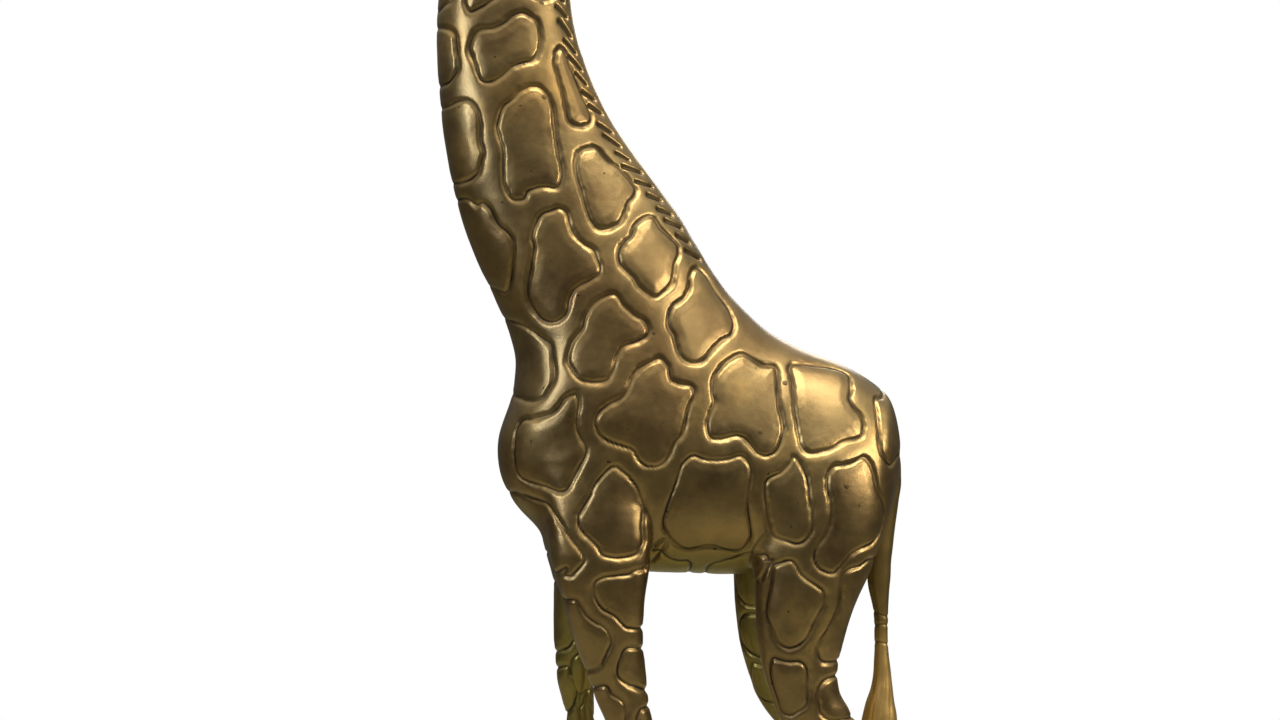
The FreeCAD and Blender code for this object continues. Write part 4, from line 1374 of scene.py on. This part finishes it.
@dataclass
class HalfShell(Casting):
    """One half of a hollow casting of the trunk or neck, split down the animal's middle plane.

    Attributes:
        side: which half.
        runs: where it starts and ends along the form.
        columns: points round the half, outside and inside.
        density: rows per step along the form.
        inset: how far the inner skin lies under the outer one, with room for the cuts.
    """

    side: Side
    runs: tuple[float, float]
    columns: tuple[int, int]
    density: float
    inset: float = WALL + 1.5

    def build(self, shop: Workshop) -> bpy.types.Object:
        """Make the half: a chased outer skin, a plain inner one, and flat joint faces between them."""
        trunk, surface = shop.animal.trunk, shop.animal.trunk_field
        runs = self.rows(trunk, shop.step)
        sense = -self.side.value
        outer, rays = laid_grid(trunk, surface, runs, np.linspace(0, math.pi, self.columns[0]) * sense)
        normals = facing_out(grid_normals(outer, False), rays)
        for column in (0, -1):
            normals[:, column, 1] = 0
            normals[:, column] /= np.linalg.norm(normals[:, column], axis=1)[:, None]
        outer, chased = shop.chase(outer, normals)
        outer[:, (0, -1), 1] = 0
        inner, rays = laid_grid(trunk, surface, runs, np.linspace(math.pi, 0, self.columns[1]) * sense)
        length = np.linalg.norm(rays, axis=2, keepdims=True)
        inner = inner - rays / np.maximum(length, 0.1) * np.minimum(self.inset, 0.9 * length)
        ring = np.concatenate([outer, inner], axis=1)
        rows, total = ring.shape[:2]
        values = np.zeros((rows, total, 4))
        values[:, :outer.shape[1]] = chased
        faces = ring_faces(rows, total)
        faces.append(tuple(range(total)))
        faces.append(tuple(reversed(range((rows - 1) * total, rows * total))))
        rim = np.zeros((rows, total), bool)
        rim[:, [0, outer.shape[1] - 1]] = True
        rim[[0, -1]] = True
        return new_object(self.name, ring.reshape(-1, 3), faces, values.reshape(-1, 4), rim.ravel())

    def rows(self, trunk: FanForm, step: float) -> Array:
        """Give the runs of the rows, which crowd towards the tip of a rounded end as on a sphere."""
        start, end = self.runs
        cap = 0.0 if start > trunk.first_run + 1 else trunk.cap_run
        count = round((end - start - cap) * self.density / step)
        closing = start + cap * (1 - np.cos(np.linspace(0, math.pi / 2, round(1.9 * cap) + 1)))[:-1]
        return np.concatenate([closing, np.linspace(start + cap, end, count)])


@dataclass
class Leg(Casting):
    """One solid leg casting, from its root in the trunk to its sole.

    Attributes:
        knee: height of the knee or hock, under which the coat has no spots.
        columns: points round the leg.
        edge: radius that rounds the sole's edge.
    """

    knee: float
    columns: int = 170
    edge: float = 1.2

    def build(self, shop: Workshop) -> bpy.types.Object:
        """Make the leg as one closed tube of level rings."""
        limb = shop.animal.limbs()[self.node]
        count = round((limb.high - self.edge) / shop.step)
        heights = np.concatenate([np.linspace(limb.high, self.edge, count), [0.8, 0.45, 0.18, 0.0]])
        run, turn, grid, normals = tube_grid(limb, shop.animal.limb_field(self.node), heights, self.columns)
        coat = ramp(run, self.knee - 12, self.knee + 4)
        grid, chased = shop.chase(grid, normals, coat)
        chased[..., :2] *= coat[..., None]
        carved = self.foot_relief(run, turn)
        grid = grid + normals * carved[..., None]
        above = run > self.edge + 0.1
        grid[..., 2] = np.where(above, np.maximum(grid[..., 2], self.edge + 0.05), run)
        chased[..., 0] = np.maximum(chased[..., 0], np.clip(-carved / 1.1, 0, 1) * above)
        return closed_tube(self.name, grid, chased)

    def foot_relief(self, run: Array, turn: Array) -> Array:
        """Give the height of the foot's and the knee's details at each run and turn.

        They are the hoof's cleft, its crown line, the dewclaws, the tendons, the kneecap, the crease
        under it and the sole's edge. Each is a bell across its line, and the edge is a quarter circle.
        """
        front = np.abs((turn + math.pi) % (2 * math.pi) - math.pi)
        rear = math.pi - front
        hoof = ramp(run, 17, 12)
        cleft = -2.0 * hoof * (bump(front, 0.16) + 0.8 * bump(rear, 0.22))
        crown = -0.7 * bump(run - 16.5, 1.3)
        claws = 1.6 * bump(run - 24, 3.0) * bump(np.abs(rear - 0.42), 0.25)
        shank = ramp(run, 30, 42) * ramp(run, self.knee - 12, self.knee - 26)
        tendon = -0.75 * shank * (bump(front - 1.9, 0.24) + 0.5 * bump(front - 0.9, 0.3))
        cap = 0.7 * bump(run - self.knee, 8) * bump(front, 0.7)
        crease = -0.5 * bump(run - (self.knee - 10), 1.4) * bump(front, 1.0)
        low = np.clip(self.edge - run, 0, self.edge) / self.edge
        return cleft + crown + claws + tendon + cap + crease - self.edge * (1 - np.sqrt(1 - low**2))


@dataclass
class Tail(Casting):
    """The tail casting: a plain dock, three tied bands, and a tuft of twisted strands.

    Attributes:
        bands: height of each band.
        tuft_top: height where the tuft starts.
        strands: how many there are round the tuft.
        columns: points round the tail.
        step: spacing of its rings in millimetres.
    """

    node: str = "tail"
    bands: tuple[float, ...] = (195.0, 187.0, 175.0)
    tuft_top: float = 172.0
    strands: int = 11
    columns: int = 110
    step: float = 0.7

    def build(self, shop: Workshop) -> bpy.types.Object:
        """Make the tail as one closed tube of level rings."""
        limb = shop.animal.tail
        heights = np.linspace(limb.high, limb.low, round((limb.high - limb.low) / self.step))
        run, turn, grid, normals = tube_grid(limb, shop.animal.limb_field(self.node), heights, self.columns)
        height, groove = self.relief(run, turn)
        height = height + 0.12 * ripple(grid, 17, 8)
        chased = np.zeros((*run.shape, 4))
        chased[..., 0] = groove
        # The fourth value darkens the dock above the tuft with the finish's olive colour.
        chased[..., 3] = ramp(run, 166, 200)
        return closed_tube(self.name, grid + normals * height[..., None], chased)

    def relief(self, run: Array, turn: Array) -> tuple[Array, Array]:
        """Give the height and the groove of the bands and strands.

        A strand is one wave round the tuft, its crests rounded and its troughs sharp, and it winds
        a little on its way down.
        """
        tuft = ramp(run, self.tuft_top, self.tuft_top - 40)
        wind = turn * self.strands + (self.tuft_top - run) / 17 + 0.8 * np.sin(run / 11 + 2 * turn)
        wave = np.abs(np.sin(wind / 2))
        fine = np.abs(np.sin(wind * 1.5 + 0.7 * np.sin(run / 8)))
        height = tuft * (0.4 * wave**0.6 - 0.3 + 0.06 * fine)
        groove = tuft * np.clip(1 - wave / 0.2, 0, 1) * 0.22
        for band in self.bands:
            ring = bump(run - band - 1.6 * np.cos(turn + band), 1.1)
            height = height - 0.45 * ring
            groove = np.maximum(groove, 0.6 * ring)
        return height, groove


@dataclass(frozen=True)
class Mark:
    """A rounded rise or dip on the head.

    Attributes:
        angle: degrees along the head's fan.
        straight: distance past the fan.
        turn: degrees round the section.
        width: of its bell.
        height: of its middle.
    """

    angle: float
    straight: float
    turn: float
    width: float
    height: float


@dataclass
class Head(Casting):
    """The head casting, with its stub of neck, eyes, brows, nostrils and mouth.

    Attributes:
        columns: points round the head.
        rises: eyeballs, brows, cheeks, nostril wings and chin.
        dips: nostrils.
        eye: the ring of the eyelids.
        mouth_start: distance past the fan to the corners of the mouth.
    """

    node: str = "head_casting"
    columns: int = 220
    rises: tuple[Mark, ...] = (
        Mark(106, 0, 66, 7.0, 2.2),
        Mark(104, 0, 66, 3.4, 1.5),
        Mark(92, 0, 60, 8.0, 1.0),
        Mark(117, 2, 118, 12.0, 1.2),
        Mark(117, 28, 62, 5.0, 0.9),
        Mark(80, 0, 0, 8.0, 1.6),
    )
    dips: tuple[Mark, ...] = (
        Mark(117, 29.5, 52, 1.9, 2.3),
        Mark(117, 31.5, 48, 1.5, 1.4),
    )
    eye: Mark = Mark(104.5, 0, 66, 4.3, 0.9)
    mouth_start: float = 13.0

    def build(self, shop: Workshop) -> bpy.types.Object:
        """Make the head as one closed tube of rings that fan round the throat."""
        form = shop.animal.head
        fan_end = form.run_of(form.fan_end)
        fan = np.linspace(0, fan_end, 112)
        nose = form.last_run - form.nose_run * (1 - np.sin(np.linspace(0, math.pi / 2, 22)))
        bridge = np.linspace(fan_end, form.last_run - form.nose_run, 40)[1:-1]
        runs = np.concatenate([fan, bridge, nose[:-1]])
        run, turn, grid, normals = tube_grid(form, form, runs, self.columns)
        height = np.zeros(run.shape)
        groove = np.zeros(run.shape)
        for side in Side:
            for mark in self.rises:
                height += mark.height * bump(self.gap(form, grid, mark, side), mark.width)
            for mark in self.dips:
                dip = bump(self.gap(form, grid, mark, side), mark.width)
                height -= mark.height * dip
                groove = np.maximum(groove, dip)
            lid = self.gap(form, grid, self.eye, side)
            height += 0.75 * bump(lid - 5.6, 0.9) - 0.9 * bump(lid - self.eye.width, 0.7)
            groove = np.maximum(groove, bump(lid - self.eye.width, 0.8))
        mouth, lips = self.mouth(form, run, turn)
        height = (height - 1.1 * mouth + 0.4 * lips + 0.05 * ripple(grid, 14, 9)) * ramp(run, 1.0, 6.0)
        chased = np.zeros((*run.shape, 4))
        chased[..., 0] = np.maximum(groove, mouth)
        return closed_tube(self.name, grid + normals * height[..., None], chased)

    def gap(self, form: FanForm, grid: Array, mark: Mark, side: Side) -> Array:
        """Give each grid point's distance from a mark on one side of the head."""
        run = np.array([form.run_of(mark.angle, mark.straight)])
        turn = np.array([math.radians(mark.turn)]) * -side.value
        return np.linalg.norm(grid - settle(form, *form.rays(run, turn)), axis=-1)

    def mouth(self, form: FanForm, run: Array, turn: Array) -> tuple[Array, Array]:
        """Give the mouth's groove and its lips: a line round the muzzle that rises to its corners."""
        begin = form.run_of(form.fan_end, self.mouth_start)
        line = math.radians(122) - 0.25 * ramp(run, begin + 14, begin)
        across = (np.abs((turn + math.pi) % (2 * math.pi) - math.pi) - line) * 11
        inside = ramp(run, begin, begin + 3)
        return inside * bump(across, 0.9), inside * bump(np.abs(across) - 2.4, 1.4)


@dataclass
class Ear(Casting):
    """One small cast ear: a leaf, hollow to the front, on a round stem.

    Attributes:
        side: which ear.
        root: middle of its root, as on the animal's right.
        tip: its tip, as on the animal's right.
        width: of the leaf.
        thickness: of the leaf's middle.
        hollow: how deep its front is dished.
        rows: rings from root to tip.
        columns: points round a ring.
    """

    side: Side
    root: tuple[float, float, float] = (-97.5, 7.5, 790.5)
    tip: tuple[float, float, float] = (-93.5, 38.5, 795.0)
    width: float = 13.5
    thickness: float = 3.2
    hollow: float = 2.6
    rows: int = 60
    columns: int = 72

    def build(self, shop: Workshop) -> bpy.types.Object:
        """Make the leaf as a closed tube of rings across its length.

        The half width is a sine of the way along, drawn out to a point. A vein runs down the front.
        """
        t = np.linspace(0, 1, self.rows)[:, None]
        angle = around(self.columns)[None]
        root, tip = np.array(self.root), np.array(self.tip)
        middle = root + (tip - root) * t + np.array([0, 0, 7.2]) * t * (1 - t)
        leaf = 0.32 * (1 - t) ** 2 + np.sin(math.pi * t**0.72) ** 0.85
        half = 0.5 * self.width * leaf * (1 - t**6) + 0.25
        thick = 0.5 * self.thickness * (1 + 0.8 * (1 - t) ** 3) * (1 - 0.75 * t)
        cup = self.hollow * np.sin(math.pi * np.clip(t * 1.15, 0, 1))
        up = np.cos(angle) * half
        vein = bump(up, 1.0) * (np.sin(angle) > 0) * (t < 0.85)
        grid = np.empty((self.rows, self.columns, 3))
        grid[..., 0] = middle[:, :1] - np.sin(angle) * thick + cup * np.sin(angle) ** 2 + 0.5 * vein
        grid[..., 1] = self.side.value * middle[:, 1:2]
        grid[..., 2] = middle[:, 2:] + up
        edge = np.abs(np.cos(angle))
        chased = np.zeros((self.rows, self.columns, 4))
        chased[..., 0] = 0.55 * (np.sin(angle) > 0.1) * ramp(edge, 0.9, 0.4)
        # The rims are lightened as rubbed wear and as a painted highlight.
        chased[..., 1] = bump(edge - 1, 0.12)
        return closed_tube(self.name, grid, chased)


@dataclass
class Ossicone(Casting):
    """One cast ossicone: a tapered stalk under a round, combed knob.

    Attributes:
        side: which ossicone.
        foot: middle of its foot, as on the animal's right.
        height: of its axis.
        lean: degrees that it leans to the rear.
        rows: rings from foot to top.
        columns: points round a ring.
    """

    side: Side
    foot: tuple[float, float, float] = (-103.0, 8.0, 791.0)
    height: float = 33.0
    lean: float = 8.0
    rows: int = 80
    columns: int = 48

    def build(self, shop: Workshop) -> bpy.types.Object:
        """Make the stalk and knob as one turned shape with strands combed up the knob.

        The strands are waves round the knob, and the stalk is a little out of round.
        """
        t = np.linspace(0, 1, self.rows)[:, None]
        angle = around(self.columns)[None]
        stalk = Stations((0, 0.18, 0.5, 0.68, 0.76, 0.86, 0.95, 1.0),
                         ((6.2,), (4.7,), (3.6,), (3.3,), (3.9,), (4.3,), (3.1,), (0.4,)))
        hair = ramp(t, 0.62, 0.78)
        strand = np.abs(np.sin(angle * 6 + 2 * t))
        wide = stalk(t)[0] * (1 + 0.09 * hair * (strand - 0.6))
        wide = wide + 0.12 * (1 - hair) * np.sin(angle * 3 + 9 * t)
        lean = math.radians(self.lean)
        grid = np.empty((self.rows, self.columns, 3))
        grid[..., 0] = self.foot[0] + t * self.height * math.sin(lean) + wide * np.cos(angle)
        grid[..., 1] = self.side.value * self.foot[1] + wide * np.sin(angle)
        grid[..., 2] = self.foot[2] + t * self.height * math.cos(lean)
        chased = np.zeros((self.rows, self.columns, 4))
        chased[..., 0] = hair * np.clip(1 - strand / 0.5, 0, 1) * 0.8
        # The upper knob is lightened as rubbed wear and as a painted highlight.
        chased[..., 1] = 0.6 * bump(t - 0.9, 0.08)
        return closed_tube(self.name, grid, chased)


@dataclass
class Plugs(Casting):
    """The filed brass plugs that close the core pins' holes in the left flank.

    Attributes:
        places: x and height of each.
        radius: of a plug.
        profile: (height over the skin, share of the radius) of each ring, from the root up.
        grime: how dark the patina on a plug is, from 0 to 1.
        columns: points round a plug.
    """

    node: str = "core_pin_plugs"
    places: tuple[tuple[float, float], ...] = ((-71, 590), (-70, 531), (84, 351), (65, 321), (120, 286))
    radius: float = 1.8
    profile: tuple[tuple[float, float], ...] = (
        (-2.5, 1.0), (-0.1, 1.0), (0.08, 0.95), (0.16, 0.8), (0.22, 0.5), (0.25, 0.2))
    grime: float = 0.45
    columns: int = 28

    @property
    def name(self) -> str:
        """Give the piece's name, which says that the plugs were filed."""
        return self.node + "_filed"

    def build(self, shop: Workshop) -> bpy.types.Object:
        """Make each plug as a short turned stub with a low dome, standing on the chased skin."""
        surface = shop.animal.outside
        start = np.array([(x, -15.0, z) for x, z in self.places])
        middle = settle(surface, start, np.tile((0.0, -25.0, 0.0), (len(start), 1)), 30)
        slope = np.stack([surface(middle + d) - surface(middle - d) for d in np.eye(3) * 0.5], axis=1)
        normal = slope / np.linalg.norm(slope, axis=1)[:, None]
        skin = shop.chase(middle[:, None], normal[:, None])[0][:, 0]
        angle = around(self.columns)
        points: list[Array] = []
        faces: list[Sequence[int]] = []
        for place, out in zip(skin, normal):
            side = np.cross(out, (0, 0, 1.0))
            side /= np.linalg.norm(side)
            up = np.cross(side, out)
            wave = 1 + 0.05 * np.sin(3 * angle + place[0])
            ring = side * np.cos(angle)[:, None] + up * np.sin(angle)[:, None]
            first = len(points) * self.columns
            for height, share in self.profile:
                points.append(place + out * height + ring * (self.radius * share * wave)[:, None])
            last = first + (len(self.profile) - 1) * self.columns
            faces += [tuple(k + first for k in face) for face in ring_faces(len(self.profile), self.columns)]
            faces.append(tuple(reversed(range(first, first + self.columns))))
            faces.append(tuple(range(last, last + self.columns)))
        made = np.concatenate(points)
        return new_object(self.name, made, faces, np.tile((self.grime, 0, 0, 0), (len(made), 1)))


# ------------------------------------------------------------------------------- stage

@dataclass
class Studio:
    """The floor, the room, the lights and the camera.

    Attributes:
        board: gives the viewer's place.
        floor_radius: in metres.
        aim: height that the lights look at, in metres.
        lamps: (name, place in metres, side in metres, watts, colour) of each light.
    """

    board: Board
    floor_radius: float = 0.5
    aim: float = 0.42
    lamps: tuple[tuple[str, tuple[float, float, float], float, float, str], ...] = (
        ("overhead", (0.55, -0.8, 1.8), 0.9, 20, "#FFF6E4"),
        ("left_window", (-1.3, -1.05, 0.75), 0.4, 5, "#E4EDFF"),
        ("right_window", (1.35, -0.95, 0.75), 0.35, 6.5, "#FFF4E0"),
        ("back", (0.5, 1.5, 1.3), 1.0, 10, "#FFFFFF"),
    )

    def build(self) -> None:
        """Make them all."""
        self.floor()
        self.room()
        for lamp in self.lamps:
            self.light(*lamp)
        self.camera()

    def floor(self) -> None:
        """Lay a round floor."""
        angle = around(96)
        ring = np.stack([np.cos(angle), np.sin(angle), 0 * angle], axis=1) * self.floor_radius / MM
        disc = new_object("floor", ring, [tuple(range(len(angle)))])
        material = bpy.data.materials.new("matt grey floor")
        material.use_nodes = True
        shader = material.node_tree.nodes["Principled BSDF"]
        shader.inputs["Base Color"].default_value = linear("#8E8B78")
        shader.inputs["Roughness"].default_value = 0.7
        disc.data.materials.append(material)

    def room(self) -> None:
        """Surround the statue with a white backdrop that reflects as a dim room."""
        world = bpy.data.worlds.new("studio")
        world.use_nodes = True
        tree = world.node_tree
        tree.nodes.clear()
        way = node(tree, "ShaderNodeTexCoord").outputs["Generated"]
        rise = node(tree, "ShaderNodeSeparateXYZ", Vector=way).outputs["Z"]
        walls = ramp_node(tree, spread(tree, rise, -1.0, 1.0), (
            (0.0, "#A5A388"), (0.36, "#57544A"), (0.50, "#524F49"), (0.62, "#7A7771"), (0.8, "#CFCDC7"),
            (1.0, "#F2F0EA")))
        seen = node(tree, "ShaderNodeLightPath").outputs["Is Camera Ray"]
        glow = node(tree, "ShaderNodeBackground", Color=cover(tree, walls, "#FFFFFF", seen))
        output = node(tree, "ShaderNodeOutputWorld")
        tree.links.new(glow.outputs[0], output.inputs["Surface"])
        bpy.context.scene.world = world

    def light(self, name: str, place: Sequence[float], size: float, power: float, colour: str) -> None:
        """Hang a soft square light that looks at the statue's middle."""
        data = bpy.data.lights.new(name, "AREA")
        data.size = size
        data.energy = power
        data.color = linear(colour)[:3]
        lamp = bpy.data.objects.new(name, data)
        lamp.location = place
        aim = Vector((0.0, 0.0, self.aim)) - Vector(place)
        lamp.rotation_euler = aim.to_track_quat("-Z", "Y").to_euler()
        bpy.context.scene.collection.objects.link(lamp)

    def camera(self) -> None:
        """Set the camera where the board is seen from."""
        data = bpy.data.cameras.new("camera")
        data.sensor_width = 36.0
        data.lens = data.sensor_width * CAMERA_DISTANCE / FRAME_WIDTH
        eye = bpy.data.objects.new("camera", data)
        eye.location = Vector(self.board.eye * MM)
        eye.rotation_euler = Vector(self.board.look).to_track_quat("-Z", "Y").to_euler()
        bpy.context.scene.collection.objects.link(eye)
        bpy.context.scene.camera = eye
        bpy.context.scene.view_settings.view_transform = "Standard"


# ------------------------------------------------------------------------------- the statue

FINISHES = {
    "patinated_brass": AgedBrass("sand-cast chased brass, brown patina"),
    "polished_brass": AgedBrass("sand-cast brass, rubbed bright", rubbed="#EBC57C", body="#D8B266",
                                brown="#A98A4C", green="#4E4A2A", shine=1.0, gloss=0.38, haze=0.46),
    "plain_brass": AgedBrass("turned brass, unpatinated", shine=1.0),
    "dull_brass": AgedBrass("filed brass plug, patinated", shine=0.0, haze=0.55),
}
HIDDEN_NODES = ("neck_base_collar", "head_collar", "foreleg_dowels", "hind_leg_dowels", "tail_dowel",
                "ear_pins", "ossicone_pins")


def build_castings(shop: Workshop) -> None:
    """Make every casting of the statue that is seen."""
    trunk = shop.animal.trunk
    joint = trunk.run_of(NECK_JOINT_ANGLE)
    for side in Side:
        for part, runs, columns, density in (("torso", (trunk.first_run + 0.02, joint), (236, 26), 1.4),
                                             ("neck", (joint, trunk.last_run), (205, 24), 0.95)):
            shop.place(HalfShell(f"{part}_{side.word}_shell", side, runs, columns, density))
    for limb, knee in (("foreleg", 106.0), ("hind_leg", 116.0)):
        for side in Side:
            shop.place(Leg(f"{side.word}_{limb}", knee))
    shop.place(Tail(), "polished_brass")
    shop.place(Head())
    for side in Side:
        shop.place(Ear(f"{side.word}_ear", side))
        shop.place(Ossicone(f"{side.word}_ossicone", side))
    shop.place(Plugs(), "dull_brass")


def main() -> None:
    """Build the statue and its studio."""
    logging.basicConfig(level=logging.INFO, format="%(name)s %(message)s")
    animal = Animal()
    board = Board()
    chasing = Chasing(animal, board, notches=Mane().strokes(animal, board))
    for spot in TRUNK_SPOTS + FORELEG_SPOTS + HIND_LEG_SPOTS:
        chasing.add_spot(spot)
    chasing.add_inner_faces()
    LOG.info("%d grooves", len(chasing.grooves))
    finishes = {slot: finish.build() for slot, finish in FINISHES.items()}
    build_castings(Workshop(animal, chasing, finishes))
    for name in HIDDEN_NODES:
        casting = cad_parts[name]
        casting.data.materials.clear()
        casting.data.materials.append(finishes["plain_brass"])
    Studio(board).build()


if __name__ == "__main__":
    main()
